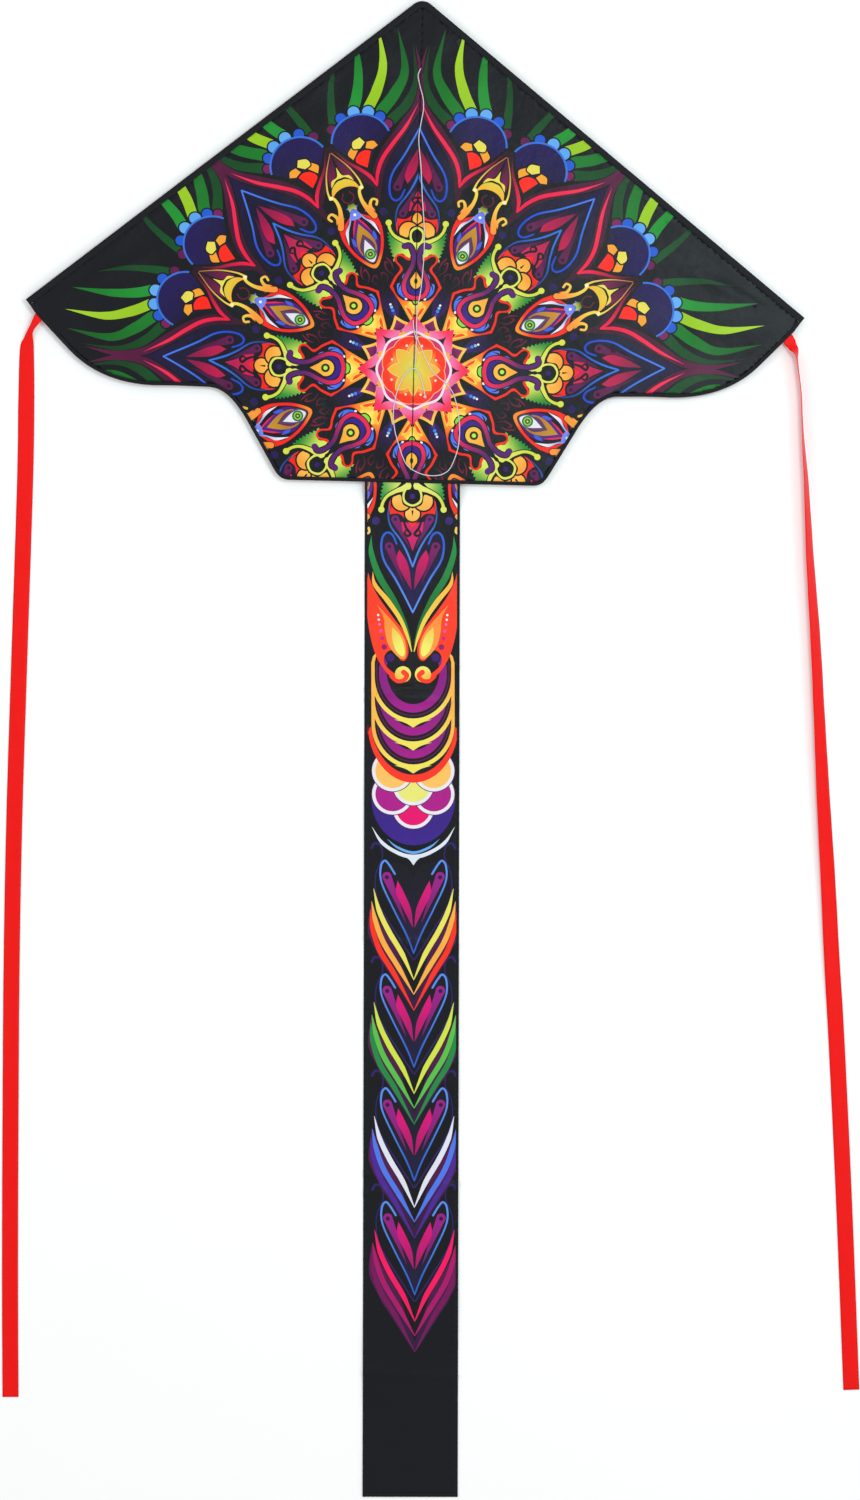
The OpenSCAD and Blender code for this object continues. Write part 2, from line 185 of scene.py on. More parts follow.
# %% Material helper
def light(hex_colour):
    """Linear red, green, blue and 1 from an sRGB hex triple, by the sRGB curve."""
    c = np.array([int(hex_colour[i:i + 2], 16) for i in (1, 3, 5)]) / 255
    return tuple(np.where(c <= 0.04045, c / 12.92, ((c + 0.055) / 1.055) ** 2.4)) + (1.0,)


class Finish:
    """A material and short ways to add its nodes."""

    def __init__(self, name, roughness=0.6, **sockets):
        self.material = bpy.data.materials.new(name)
        self.material.use_nodes = True
        self.tree = self.material.node_tree
        self.shader = self.tree.nodes["Principled BSDF"]
        self.shader.inputs["Roughness"].default_value = roughness
        for socket, value in sockets.items():
            self.shader.inputs[socket.replace("_", " ")].default_value = value

    def node(self, kind, inputs=(), **settings):
        n = self.tree.nodes.new(kind)
        for key, value in settings.items():
            setattr(n, key, value)
        for key, value in dict(inputs).items():
            if isinstance(value, bpy.types.NodeSocket):
                self.tree.links.new(value, n.inputs[key])
            else:
                n.inputs[key].default_value = value
        return n

    def link(self, a, b):
        self.tree.links.new(a, b)

    def place(self, uv=False, scale=(1, 1, 1)):
        """Object coordinates, or the piece's own UV map, times a scale."""
        if uv:
            out = self.node("ShaderNodeUVMap", uv_map="along_across").outputs["UV"]
        else:
            out = self.node("ShaderNodeTexCoord").outputs["Object"]
        return self.node("ShaderNodeMapping", {"Vector": out, "Scale": scale}).outputs["Vector"]

    def noise(self, where, scale, detail=3.0, rough=0.5):
        return self.node("ShaderNodeTexNoise", {"Vector": where, "Scale": scale, "Detail": detail,
                                                "Roughness": rough}).outputs["Fac"]

    def spread(self, fac, low, high):
        """A 0 to 1 value moved to run from low to high."""
        return self.node("ShaderNodeMapRange", {"Value": fac, "To Min": low,
                                                "To Max": high}).outputs["Result"]

    def maths(self, kind, a, b):
        return self.node("ShaderNodeMath", {0: a, 1: b}, operation=kind).outputs["Value"]

    def tint(self, fac, one, other):
        """Base colour between two inks, by a 0 to 1 value."""
        mix = self.node("ShaderNodeMix", {"Factor": fac, "A": light(one), "B": light(other)},
                        data_type="RGBA")
        self.link(mix.outputs["Result"], self.shader.inputs["Base Color"])

    def relief(self, height, strength, distance, under=None):
        bump = self.node("ShaderNodeBump", {"Height": height, "Strength": strength, "Distance": distance})
        if under is not None:
            self.link(under, bump.inputs["Normal"])
        return bump.outputs["Normal"]

    def weave(self, where, pitch):
        """Plain weave: the product of two waves, one along the warp and one along the weft."""
        turns = 2 * np.pi / pitch
        xyz = self.node("ShaderNodeSeparateXYZ", {"Vector": where}).outputs
        waves = [self.maths("SINE", self.maths("MULTIPLY", xyz[k], turns), 0.0) for k in ("X", "Y")]
        return self.maths("MULTIPLY", *waves)


# %% [markdown]
# ## Cloth finishes
# Kite cloth is polyester taffeta: a fine plain weave with a soft, slightly oily sheen, which is what
# greys the dark ground where the lamp glances off it. The printed cloth takes its colour from an
# attribute that the print cells write into the mesh. The back of a print is paler, because dye only
# half soaks through. Binding tape is the same cloth in black with a coarser rib, and satin ribbon has
# long floats that give a narrow, bright highlight across its threads.

# %% Cloth materials
WEAVE = 0.0009


def printed_cloth(name, soak):
    f = Finish(name, 0.4, Specular_IOR_Level=0.2, Sheen_Weight=0.01, Sheen_Roughness=0.45)
    where = f.place()
    ink = f.node("ShaderNodeVertexColor", layer_name="ink").outputs["Color"]
    washed = f.node("ShaderNodeMix", {"Factor": soak, "A": ink, "B": light("#4a4c56")}, data_type="RGBA")
    uneven = f.spread(f.noise(where, 60.0), 0.82, 0.96)
    cloth = f.node("ShaderNodeVectorMath", {0: washed.outputs["Result"], 1: uneven}, operation="MULTIPLY")
    f.link(cloth.outputs["Vector"], f.shader.inputs["Base Color"])
    f.link(f.spread(f.noise(where, 25.0), 0.32, 0.46), f.shader.inputs["Roughness"])
    threads = f.relief(f.weave(where, WEAVE), 0.25, 0.00008)
    crumple = f.relief(f.noise(where, 13.0, 5.0, 0.6), 0.5, 0.005, threads)
    f.link(crumple, f.shader.inputs["Normal"])
    return f.material


def plain_cloth(name, colour, dark, roughness=0.6, uv=False, pitch=WEAVE, sheen=0.02, shine=0.16):
    f = Finish(name, roughness, Specular_IOR_Level=shine, Sheen_Weight=sheen, Sheen_Roughness=0.4)
    where = f.place(uv)
    f.tint(f.spread(f.noise(where, 35.0), 0.2, 0.8), colour, dark)
    f.link(f.spread(f.noise(where, 20.0), roughness - 0.07, roughness + 0.07), f.shader.inputs["Roughness"])
    rib = f.relief(f.weave(where, pitch), 0.35, 0.0001)
    f.link(f.relief(f.noise(where, 90.0), 0.15, 0.001, rib), f.shader.inputs["Normal"])
    return f.material


PRINT_FRONT = printed_cloth("printed_taffeta", 0.0)
PRINT_BACK = printed_cloth("print_from_behind", 0.35)
TAPE = plain_cloth("black_binding_tape", "#0b0c10", "#15161b", 0.55, pitch=0.0014)
POCKET_CLOTH = plain_cloth("black_pocket_cloth", "#131318", "#1e1f25", 0.6)
THREAD = plain_cloth("black_sewing_thread", "#23242b", "#101116", 0.45, pitch=0.0005)
RIBBON = plain_cloth("red_satin_ribbon", "#f00803", "#e00401", 0.42, uv=True, pitch=0.0008)
print("cloth finishes made")

# %% [markdown]
# ## The print: ornaments as outlines
# The printed pattern is an eight-fold rosette of plain ornaments: petals, hearts, drops, scallops and
# long leaves. A texture picture would do, but a pattern cut into the mesh itself stays sharp at any
# distance and needs no image. So each ornament is a closed outline in millimetres, in the frame of its
# own axis: the first number runs outwards from the rosette's middle, the second across the axis. They
# are painted one over another, and later the cloth is cut along all of their edges at once.

# %% Outlines
def outline(points, per_step=6):
    """A closed outline through points. It is a smooth spline, with a corner where a point is given twice."""
    p = np.array(points, float)
    twice = np.all(np.abs(p - np.roll(p, 1, 0)) < 1e-9, axis=1)
    if not twice.any():
        return spline(p, per_step, True)
    p = np.roll(p, -np.flatnonzero(twice)[0], 0)
    twice = np.all(np.abs(p - np.roll(p, 1, 0)) < 1e-9, axis=1)
    starts = np.r_[np.flatnonzero(twice), len(p)]
    runs = [p[a:b] for a, b in zip(starts[:-1], starts[1:])]
    runs[-1] = np.vstack([runs[-1], p[:1]]) if np.any(runs[-1][-1] != p[0]) else runs[-1]
    return np.vstack([spline(r, per_step if len(r) > 2 else 1)[:-1] for r in runs if len(r) > 1])


def brush(points, widths, per_step=6):
    """A brush stroke: a spline thickened to the given width at each of its points. The two edges are
    the line plus and minus half the width along its normal, and a wide end gets a half-round cap."""
    line = spline(points, per_step)
    w = np.interp(np.linspace(0, 1, len(line)), np.linspace(0, 1, len(widths)), widths) / 2
    t = np.gradient(line, axis=0)
    t /= np.maximum(np.linalg.norm(t, axis=1, keepdims=True), 1e-9)
    n = np.stack([-t[:, 1], t[:, 0]], 1)

    def cap(k, sign):
        a = np.linspace(np.pi / 2, -np.pi / 2, 7)[1:-1, None] if w[k] > 0.3 else np.zeros((1, 1))
        r = w[k] if w[k] > 0.3 else 0.0
        return line[k] + sign * r * (np.cos(a) * t[k] + np.sin(a) * n[k])

    return np.vstack([line + n * w[:, None], cap(-1, 1), (line - n * w[:, None])[::-1], cap(0, -1)])


def disc(u, v, r, squeeze=1.0, count=20):
    """A circle of radius r about (u, v), its height multiplied by squeeze."""
    a = np.linspace(0, 2 * np.pi, count, endpoint=False)
    return np.stack([u + r * np.cos(a), v + squeeze * r * np.sin(a)], 1)


def drop(head, r, tip):
    """A teardrop: a circle about head drawn out to a corner at tip."""
    h, t = np.array(head, float), np.array(tip, float)
    d = (t - h) / np.linalg.norm(t - h)
    n = np.array([-d[1], d[0]])
    a = np.radians(np.linspace(75, 285, 12))[:, None]
    arc = h + r * (np.cos(a) * d + np.sin(a) * n)
    return np.vstack([[t], h + 0.5 * (t - h) + 0.5 * r * n, arc, h + 0.5 * (t - h) - 0.5 * r * n])


def grown(shape, d):
    """The outline moved outwards by d along the normals of its points."""
    t = np.roll(shape, -1, 0) - np.roll(shape, 1, 0)
    n = np.stack([t[:, 1], -t[:, 0]], 1) / np.maximum(np.linalg.norm(t, axis=1, keepdims=True), 1e-6)
    x, y = shape.T
    turn = np.sign(np.sum(x * np.roll(y, -1) - y * np.roll(x, -1)))
    return shape + n * d * turn


# %% [markdown]
# Inks are kept in a list with their outlines. Each has one colour, or two with a line between which one
# changes into the other, which is how the printer's soft blends are made. Most ornaments come in
# mirrored pairs about their axis, so a flag paints both.

# %% Painting
DARK = "#15151b"


class Artwork:
    """Outlines in painting order, with a colour blend each."""

    def __init__(self):
        self.items = []

    def paint(self, shape, colour, to=None, a=(0, 0), b=(1, 0), both=False, rim=0.0, rim_colour=DARK):
        """Adds a shape; with both, its mirror image too. rim adds a darker edge of that width under it."""
        for flip in (1, -1) if both else (1,):
            m = np.array([1, flip])
            if rim:
                self.items.append((grown(shape, rim) * m, light(rim_colour), light(rim_colour), m * 0.0,
                                   m * 1.0))
            self.items.append((shape * m, light(colour), light(to or colour), np.array(a) * m,
                               np.array(b) * m))

    def turned(self, degrees):
        """The same artwork turned about the rosette's middle."""
        c, s = np.cos(np.radians(degrees)), np.sin(np.radians(degrees))
        r = np.array([[c, s], [-s, c]])
        return [(p @ r, k0, k1, a @ r, b @ r) for p, k0, k1, a, b in self.items]


# %% [markdown]
# ### Ornaments on the heart axes
# Eight axes, 45 degrees apart, carry the same chain of ornaments outwards from the star: a shield with
# a drop in it, a pair of leaves on stems, a flower of three gold coins, and two nested hearts.

# %% Petal bands and the fans between them
bands, fans, windows, hearts, shields, crowns, middle = (Artwork() for _ in range(7))

bands.paint(brush([(255, 52), (283, 50), (306, 50), (336, 36), (368, 14), (396, 2), (430, -1)],
                  [3, 12, 13, 13, 12, 9, 0]), "#1e1240", "#281650", (280, 50), (400, 5), both=True)
bands.paint(brush([(268, 64), (283, 66), (310, 66), (340, 53), (372, 30), (408, 8), (450, 3), (492, 12)],
                  [4, 20, 25, 26, 24, 15, 9, 0]), DARK, both=True)
bands.paint(brush([(255, 62), (283, 65), (310, 63), (340, 50), (372, 29), (408, 8), (450, 3), (500, 13)],
                  [2, 14, 17, 17, 16, 12, 8, 0]), "#4e0f3c", "#701a54", (280, 60), (480, 5), both=True)
bands.paint(brush([(276, 62), (292, 77), (305, 95), (319, 117), (340, 137)], [6, 20, 21, 18, 8]), DARK,
            both=True)
bands.paint(brush([(276, 62), (291, 77), (303, 95), (317, 117), (338, 137)], [6, 14, 15, 13, 6]),
            "#4e0f3c", "#3c1030", (285, 70), (335, 130), both=True)
bands.paint(brush([(283, 66), (303, 65), (325, 58), (348, 43), (375, 24), (411, 6)], [3, 5.6, 6, 6, 4.8, 0]),
            "#f01c58", "#f83c68", (283, 66), (411, 6), both=True)
bands.paint(brush([(283, 66), (296, 76), (307, 92), (318, 112), (334, 130)], [3, 5.6, 5, 3.4, 0]),
            "#f01c58", "#801648", (290, 70), (330, 125), both=True)

FAN_ANGLE, FAN_RADIUS = 14.6, 358.0
fan_turn = np.radians(FAN_ANGLE)
fan_middle = FAN_RADIUS * np.array([np.cos(fan_turn), np.sin(fan_turn)])


def about_fan(points):
    """Points given from the fan's own middle, along its axis and across, put on the heart axis."""
    p = np.asarray(points, float)
    c, s = np.cos(fan_turn), np.sin(fan_turn)
    return fan_middle + p @ np.array([[c, s], [-s, c]])


LEAVES = [([(364, 132), (398, 137), (438, 138), (484, 131)], [14, 12, 8, 0], "#0e6634", "#0b522b"),
          ([(392, 106), (422, 99), (462, 98), (519, 105)], [17, 16, 12, 0], "#2aa444", "#1c8a38"),
          ([(400, 82), (430, 69), (470, 61), (529, 70)], [16, 16, 12, 0], "#a8d024", "#b6da40"),
          ([(398, 61), (425, 42), (462, 28), (526, 40)], [18, 17, 12, 0], "#1e8c36", "#14702e"),
          ([(384, 46), (408, 24), (446, 11), (504, 17)], [16, 15, 8, 0], "#0b602e", "#084c26")]
for points, widths, c0, c1 in LEAVES:
    fans.paint(brush(points, widths), c0, c1, points[0], points[-1], both=True, rim=1.2)

DOME_RADIUS = 45
dome_turn = np.radians(np.linspace(-78, 78, 26))
dome = DOME_RADIUS * np.stack([np.cos(dome_turn), np.sin(dome_turn)], 1)
wedge = np.vstack([dome, [(-34, 26), (-58, 6), (-62, 0), (-58, -6), (-34, -26)]])
fans.paint(about_fan(wedge * 1.1), DARK, both=True)
SCALLOPS = [(-66, "#8c2270", 7), (-47, "#2f6fd6", 8), (-24.5, "#6fb2ee", 9), (1, "#79b8f0", 9),
            (26, "#2f6fd6", 8), (52, "#7a1d62", 7)]
for degrees_off, colour, r in SCALLOPS:
    t = np.radians(degrees_off)
    fans.paint(disc(*about_fan([(49.5 * np.cos(t), 49.5 * np.sin(t))])[0], r), colour, both=True, rim=2.2)
fans.paint(about_fan(np.vstack([dome * 1.035, dome[::-1] * 0.96])), "#4a86dc", both=True)
fans.paint(about_fan(wedge * 0.97), "#190d40", "#2e1968", fan_middle - 40, fan_middle + 30, both=True)
WINDOWS = [([(-38, 0), (-38, 0), (-27, 14), (-19, 13), (-19, 13), (-13, 6), (-11, -3), (-14, -11),
             (-14, -11)],
            "#ff3416"),
           ([(-22, 18), (-22, 18), (-12, 24), (-2, 16), (-2, 16), (-9, 8), (-9, 8)], "#f8b040"),
           ([(-7, 4), (-7, 4), (-5, 14), (5, 13), (10, 1), (10, 1), (1, -5), (1, -5)], "#ece06a"),
           ([(-8, -4), (-8, -4), (1, -8), (1, -8), (0, -18), (-8, -23), (-8, -23), (-12, -14), (-12, -14)],
            "#f8b040")]
for points, colour in WINDOWS:
    windows.paint(about_fan(outline(points)), colour, both=True, rim=2.2)
print(len(bands.items), "bands and", len(fans.items), "fan shapes")

# %% Two nested hearts
hearts.paint(outline([(262, 20), (258, 38), (276, 49), (305, 44), (345, 20), (384, 0), (384, 0), (300, -2),
                      (262, 0)]), "#181032", "#1e1548", (260, 20), (380, 0), both=True)
hearts.paint(brush([(277, 24), (264, 30), (260, 38), (267, 45), (284, 47), (304, 42), (328, 27), (352, 14),
                    (380, 0)],
                   [2.4, 3, 3.2, 3.2, 3.2, 3, 3, 2.8, 2.4]), "#2a5cd0", "#5c90ec", (262, 40), (380, 0),
             both=True)
hearts.paint(drop((281, 35), 6.5, (338, 13)), "#761660", "#58124e", (280, 35), (335, 13), both=True)
hearts.paint(disc(281, 35, 3), "#2a1240", both=True)
hearts.paint(outline([(286, 20), (286, 20), (298, 24), (318, 18), (346, 2), (346, 2), (322, 4), (303, 9)]),
             "#cc1060", "#9c1058", (286, 20), (345, 3), both=True)
hearts.paint(outline([(226, 34), (245, 36), (268, 25), (310, 0), (310, 0), (250, -2), (230, 0)]),
             "#170f2e", both=True)
hearts.paint(brush([(214, 34), (232, 36.5), (250, 33), (270, 19), (288, 9), (311, 0)],
                   [1.6, 2.2, 2.6, 2.8, 3, 2.6]),
             "#27549e", "#4a86e4", (214, 34), (310, 0), both=True)
hearts.paint(drop((240, 26), 6, (286, 3)), "#761a66", "#521650", (240, 26), (286, 3), both=True)
hearts.paint(disc(240, 26, 2.6), "#2a1240", both=True)
hearts.paint(outline([(244, 17), (244, 17), (260, 14), (270, 7), (288, 0), (288, 0), (250, -1), (246, 6)]),
             "#dc1c62", "#c01a68", (244, 10), (288, 0), both=True)
hearts.paint(brush([(244, 13), (254, 9), (262, 3), (265, 8), (261, 12), (257, 10)], [3, 4, 4, 4, 3, 2.5]),
             DARK,
             both=True)

# %% Gold flower and stems
hearts.paint(outline([(203, 30), (203, 30), (232, 33), (232, 33), (233, 18), (252, 0), (252, 0), (233, -18),
                      (232, -33), (232, -33), (203, -30), (203, -30)], 4), "#f6301a")
hearts.paint(brush([(206, 30), (218, 34), (232, 33)], [2, 2.5, 2]), "#f6301a", both=True)
for u, v, r in ((232, 0, 11), (213, 16.5, 14), (213, -16.5, 14)):
    hearts.paint(disc(u, v, r, 1.0, 26), "#fdc35c", "#f9b04a", (u - 6, 0), (u + 12, 0), rim=2.6)
hearts.paint(brush([(228, 0), (236, 0)], [3, 0]), DARK)
hearts.paint(brush([(208, 11.5), (215, 15)], [4, 0]), DARK, both=True)

spikes = np.stack([np.linspace(215, 169, 17), 49 - 10 * np.linspace(0, 1, 17) ** 1.4], 1)
spikes[1::2, 1] -= 3.5
spikes[:, 1] += 1.5 * np.sin(np.linspace(0, np.pi, 17))
fan_leaf = np.vstack([spikes, spline([(165, 38), (176, 32), (178, 24), (168, 14)], 4),
                      spline([(176, 13), (186, 17), (196, 27), (206, 40)], 4)])
hearts.paint(fan_leaf, "#dcec70", "#2f9a44", (180, 16), (190, 50), both=True)
hearts.paint(outline([(181, 8), (181, 8), (190, 12), (194, 24), (200, 31), (207, 30), (204, 18), (218, 14),
                      (224, 0), (224, 0), (181, 0), (181, 0)]), DARK, both=True)
hearts.paint(brush([(166, 6), (172, 4.5), (184, 5), (193, 11), (198, 24), (205, 37), (214, 44), (224, 47)],
                   [4.5, 3.5, 5, 9, 6, 4.4, 4.2, 5]), "#eceb7e", "#d6e052", (170, 5), (226, 47), both=True,
             rim=1.4)
hearts.paint(disc(225.5, 46.8, 4.7), "#dfe45c", both=True)
hearts.paint(outline([(186, 4), (194, 12), (206, 15), (216, 12), (221, 0), (216, -12), (206, -15), (194, -12),
                      (186, -4), (192, 0)]), "#e4e872")
hearts.paint(outline([(180, 0), (180, 0), (194, 2.5), (197, 9), (205, 12), (213, 10), (218, 0), (213, -10),
                      (205, -12), (197, -9), (194, -2.5)]), DARK)
hearts.paint(disc(206, 0, 4), "#3b2478")
print(len(hearts.items), "heart shapes")

# %% Shield, band and drop
shields.paint(outline([(70, 8), (70, 8), (98, 24), (112, 33), (127, 43), (127, 43), (142, 36), (155, 28),
                       (168, 37), (177, 33), (178, 27), (178, 27), (165, 0), (165, 0)]), "#ffb23c", "#f9381a",
              (92, 10), (122, 30), both=True)
shields.paint(outline([(84, 0), (84, 0), (88, 10), (98, 17), (106, 12), (106, 12), (103, 0), (103, 0)]),
              "#fff07a", "#ffb83c", (98, 0), (88, 12), both=True)
shields.paint(brush([(72, 5), (84, 12), (98, 19), (93, 12), (84, 3)], [1.5, 2, 2, 2, 1.5]), "#ffd866",
              both=True)
shields.paint(outline([(78, 6), (78, 6), (88, 14), (96, 18), (96, 18), (92, 11)]), "#ff5c2c", both=True)
shields.paint(outline([(98, 0), (98, 0), (100, 7), (105, 11), (107, 23), (115, 32.5), (128, 38.5),
                       (128, 38.5),
                       (142, 32), (154.5, 24), (166, 32.5), (173, 33), (174.5, 27), (168, 15), (176, 8),
                       (176, 0),
                       (176, 0)]), DARK, both=True)
shields.paint(outline([(100, 0), (102, 6), (108, 9), (108, 9), (108, -9), (108, -9), (102, -6)]), "#9fe04e")
shields.paint(outline([(110, 20), (118, 30), (131, 32), (134, 25), (144, 24), (155, 15), (155, 15), (135, 19),
                       (122, 20)]), "#4f7ff0", "#7a98f4", (110, 20), (140, 26), both=True)
shields.paint(brush([(122, 30), (130, 28), (138, 22)], [0.6, 2.5, 0]), DARK, both=True)
shields.paint(disc(109, 18, 2.1), "#f2f2f4", both=True)
band = [(190, 21), (191, 15), (184, 10), (172, 8), (160, 10), (146, 17), (130, 22), (115, 17), (109.5, 0)]
shields.paint(brush(band + [(u, -v) for u, v in band[-2::-1]], [7] * 3 + [6] * 11 + [7] * 3), "#f03468",
              "#6c2680", (110, 0), (176, 0), rim=1.5)
shields.paint(disc(190, 22, 5), "#6c2680", both=True)
shields.paint(outline([(113, 0), (117, 12), (130, 18), (144, 13), (160, 6), (180, 3), (180, 3), (180, -3),
                       (180, -3), (160, -6), (144, -13), (130, -18), (117, -12)]), "#4b2896", "#1a1430",
              (122, 0), (160, 0))
shields.paint(drop((136, 0), 12.5, (160, 0)), "#fdc858", "#f8b548", (130, 0), (158, 0), rim=2.4)
shields.paint(disc(136.5, 0, 6.6), "#2a4a1e")
shields.paint(disc(136.5, 0, 3.2), "#c6ee5c")
print(len(shields.items), "shield shapes")

# %% [markdown]
# ### Ornaments on the leaf axes
# Half way between, eight more axes carry an almond of nested leaf outlines round a plain ringed bead, a
# crown with curled horns, and a dark wedge with four beads.

# %% Wedge and almond
crowns.paint(outline([(82, 3), (82, 3), (112, 12), (150, 4), (150, 4), (150, -4), (112, -12), (82, -3),
                      (82, -3)]), "#44206e", "#191522", (88, 0), (142, 0))
for u, r, colour in ((92, 2.6, "#5a4aa0"), (98, 2.6, "#4a98e8"), (103.5, 2.3, "#9cc8f0"),
                     (108, 1.8, "#f0f2f6")):
    crowns.paint(disc(u, 0, r, count=12), colour)
crowns.paint(disc(245, 42, 6), "#33206a", both=True)
for points in ([(150, 20), (160, 14), (172, 16), (168, 20)], [(142, 8), (152, 12), (158, 5), (150, 3)],
               [(158, 24), (168, 24), (178, 20)]):
    crowns.paint(brush(points, [1, 2.2, 2.2, 1]), "#5a1638", "#96204c", (145, 0), (180, 0), both=True)
crowns.paint(outline([(168, 0), (178, 12), (198, 24), (222, 31), (239, 31), (239, 31), (252, 12), (262, 0),
                      (262, 0), (252, -12), (239, -31), (239, -31), (222, -31), (198, -24), (178, -12)]),
             "#fda23a", "#f9351c", (170, 0), (192, 0))
crowns.paint(outline([(174, 0), (184, 11), (202, 21), (222, 26), (236, 22), (262, 2), (270, 0), (262, -2),
                      (236, -22), (222, -26), (202, -21), (184, -11)]), "#1c1226")
crowns.paint(outline([(178, 0), (190, 13), (208, 20), (226, 14), (247, 0), (247, 0), (226, -14), (208, -20),
                      (190, -13)]), "#4c2488", "#6a2c96", (180, 0), (245, 0))
crowns.paint(outline([(208, 15), (214, 19), (224, 18), (224, 18), (218, 14)]), "#5a70e0", both=True)
crowns.paint(brush([(222, 15), (236, 9), (252, 0)], [0, 2.6, 2.6]), "#f02c6c", both=True)
crowns.paint(outline([(180, 0), (192, 11), (206, 14), (222, 10), (241, 0), (241, 0), (222, -10), (206, -14),
                      (192, -11)]), "#b8862a", "#d0a038", (190, 0), (238, 0))
crowns.paint(outline([(186, 0), (196, 10), (208, 10), (224, 0), (224, 0), (208, -10), (196, -10)]), "#7a3a72")
crowns.paint(outline([(176, 0), (186, 10), (200, 9), (222, 0), (222, 0), (200, -9), (186, -10)]), "#6b5a78")
crowns.paint(outline([(178, 0), (187, 8), (199, 7), (215, 0), (215, 0), (199, -7), (187, -8)]), "#ebe8ef")
for r, colour in ((8.4, "#2f7a4c"), (6.2, "#8fd05c"), (3.6, "#1d3a2a"), (1.6, "#f4d25c")):
    crowns.paint(disc(191, 0, r), colour)
crowns.paint(outline([(214, 25), (214, 25), (234, 23), (246, 13), (262, 5), (262, 5), (250, 8), (234, 18)]),
             "#f0eef4", "#8aa0ee", (225, 24), (258, 5), both=True)
crowns.paint(outline([(250, 8), (262, 5), (268, 9), (268, 9), (272, 3), (280, 0), (280, 0), (248, -2),
                      (248, -2)]), "#8a9cf0", "#7088e0", (250, 5), (270, 5), both=True)
crowns.paint(outline([(262, 6), (262, 6), (272, 5), (279, 0), (272, -5), (262, -6), (262, -6), (266, 0)]),
             "#d8d24a", "#4a7a30", (262, 0), (276, 0))
crowns.paint(disc(256, 0, 2.2), "#f8f8fa")

# %% Crown
crowns.paint(disc(286, 0, 13), DARK)
crowns.paint(brush([(278, -6), (275, 0), (278, 6), (285, 9), (292, 5)], [1, 1.6, 1.8, 2, 2.4]), "#7c1642",
             both=True)
crowns.paint(outline([(243, 31), (243, 31), (256, 30), (262, 24), (262, 24), (256, 16), (256, 16),
                      (250, 20)]),
             "#fca248", both=True)
crowns.paint(brush([(244, 27), (256, 22), (272, 18), (286, 19), (294, 24)], [9, 8, 5.5, 4.5, 5]), "#fca548",
             "#f4dc62", (246, 25), (290, 22), both=True, rim=1.2)
crowns.paint(brush([(250, 25), (262, 27), (269, 33), (265, 39), (259, 36)], [8, 5, 3.6, 3.4, 3.6]), "#fba848",
             "#f6d060", (250, 25), (264, 38), both=True)
crowns.paint(outline([(292, 27), (292, 27), (320, 22), (358, 0), (358, 0), (320, -22), (292, -27),
                      (292, -27), (300, 0)]), "#1a1120")
crowns.paint(brush([(291, 26), (306, 25), (330, 17), (357, 1)], [3.4, 2.4, 2.0, 1.2]), "#f4dc62", "#c88a4c",
             (292, 25), (355, 2), both=True)
crowns.paint(outline([(308, 20), (308, 20), (330, 15), (354, 1), (354, 1), (330, 3), (318, 8)]), "#8a1c60",
             "#5c1448", (310, 18), (350, 2), both=True)
crowns.paint(outline([(290, 23), (290, 23), (304, 18), (312, 8), (313, 0), (312, -8), (304, -18), (290, -23),
                      (290, -23), (298, -13), (301, 0), (298, 13)]), "#fabc48", "#e8d24c", (292, 0), (312, 0))
crowns.paint(outline([(306, 18), (306, 18), (316, 14), (320, 4), (334, 0), (334, 0), (320, -4), (316, -14),
                      (306, -18), (306, -18), (315, -8), (316, 0), (315, 8)]), "#eee068")
crowns.paint(disc(292, 24, 3), "#fbf0b8", both=True)
print(len(crowns.items), "crown shapes")

# %% [markdown]
# ### The middle
# A star of eight points holds a pale lobed ring, and in the ring eight circles overlap about a common
# point. Eight pointed petals lie over them, in the gaps between the circles' middles, so that the cells
# grow lighter towards the centre, as in a rosette drawn with compasses.

# %% Star, ring and rosette
middle.paint(outline([(90, 0), (90, 0), (79, 8), (72, 15), (72, 15), (62, 10), (50, 0), (50, 0), (62, -10),
                      (72, -15), (72, -15), (79, -8)]), "#fdd468", "#f8b850", (88, 0), (60, 0))
middle.paint(outline([(83, 0), (83, 0), (75, 6), (71, 10), (71, 10), (62, 0), (62, 0), (71, -10),
                      (71, -10), (75, -6)]), "#9a2c78", "#6c1f58", (80, 0), (62, 0))
star = Artwork()
star.paint(outline([(89, 0), (89, 0), (74, 12), (60, 25), (60, 25), (50, 0), (50, 0), (60, -25), (60, -25),
                    (74, -12)]), "#f7406a", "#f58ab8", (80, 0), (58, 0))
star.paint(outline([(74, 0), (74, 0), (67, 2), (61, 6), (61, 6), (61, -6), (61, -6), (67, -2)]), "#431a38")
turn = np.linspace(0, 2 * np.pi, 96, endpoint=False)
lobes = 59.5 + 2.0 * np.cos(8 * turn)
around = np.stack([np.cos(turn), np.sin(turn)], 1)
ring = Artwork()
ring.paint(around * lobes[:, None], "#f4e6ec")
ring.paint(around * (lobes - 3.6)[:, None], "#c02c6c", "#d84080", (-50, 0), (50, 0))
PETAL = outline([(0, 0), (0, 0), (9, 7), (22, 10.6), (34, 7.4), (43, 0), (43, 0), (34, -7.4), (22, -10.6),
                 (9, -7)])
circle_rims, circle, petal_rims, petals, beads = (Artwork() for _ in range(5))
circle_rims.paint(disc(27, 0, 27.2, count=40), "#fcc09c")
circle.paint(disc(27, 0, 26, count=40), "#f8b048", "#fb4a28", (22, 0), (44, 0))
petal_rims.paint(grown(PETAL, 0.9), "#f8dc9c")
petals.paint(PETAL, "#e4dc6c", "#f4c24c", (3, 0), (42, 0))
petals.paint(grown(outline([(0, 0), (0, 0), (8, 5), (18, 0), (18, 0), (8, -5)]), 0.1), "#d6e070", "#f0d860",
             (2, 0), (18, 0))
beads.paint(disc(40, 0, 1.9, count=12), "#fbe6d8")
middle_items = []
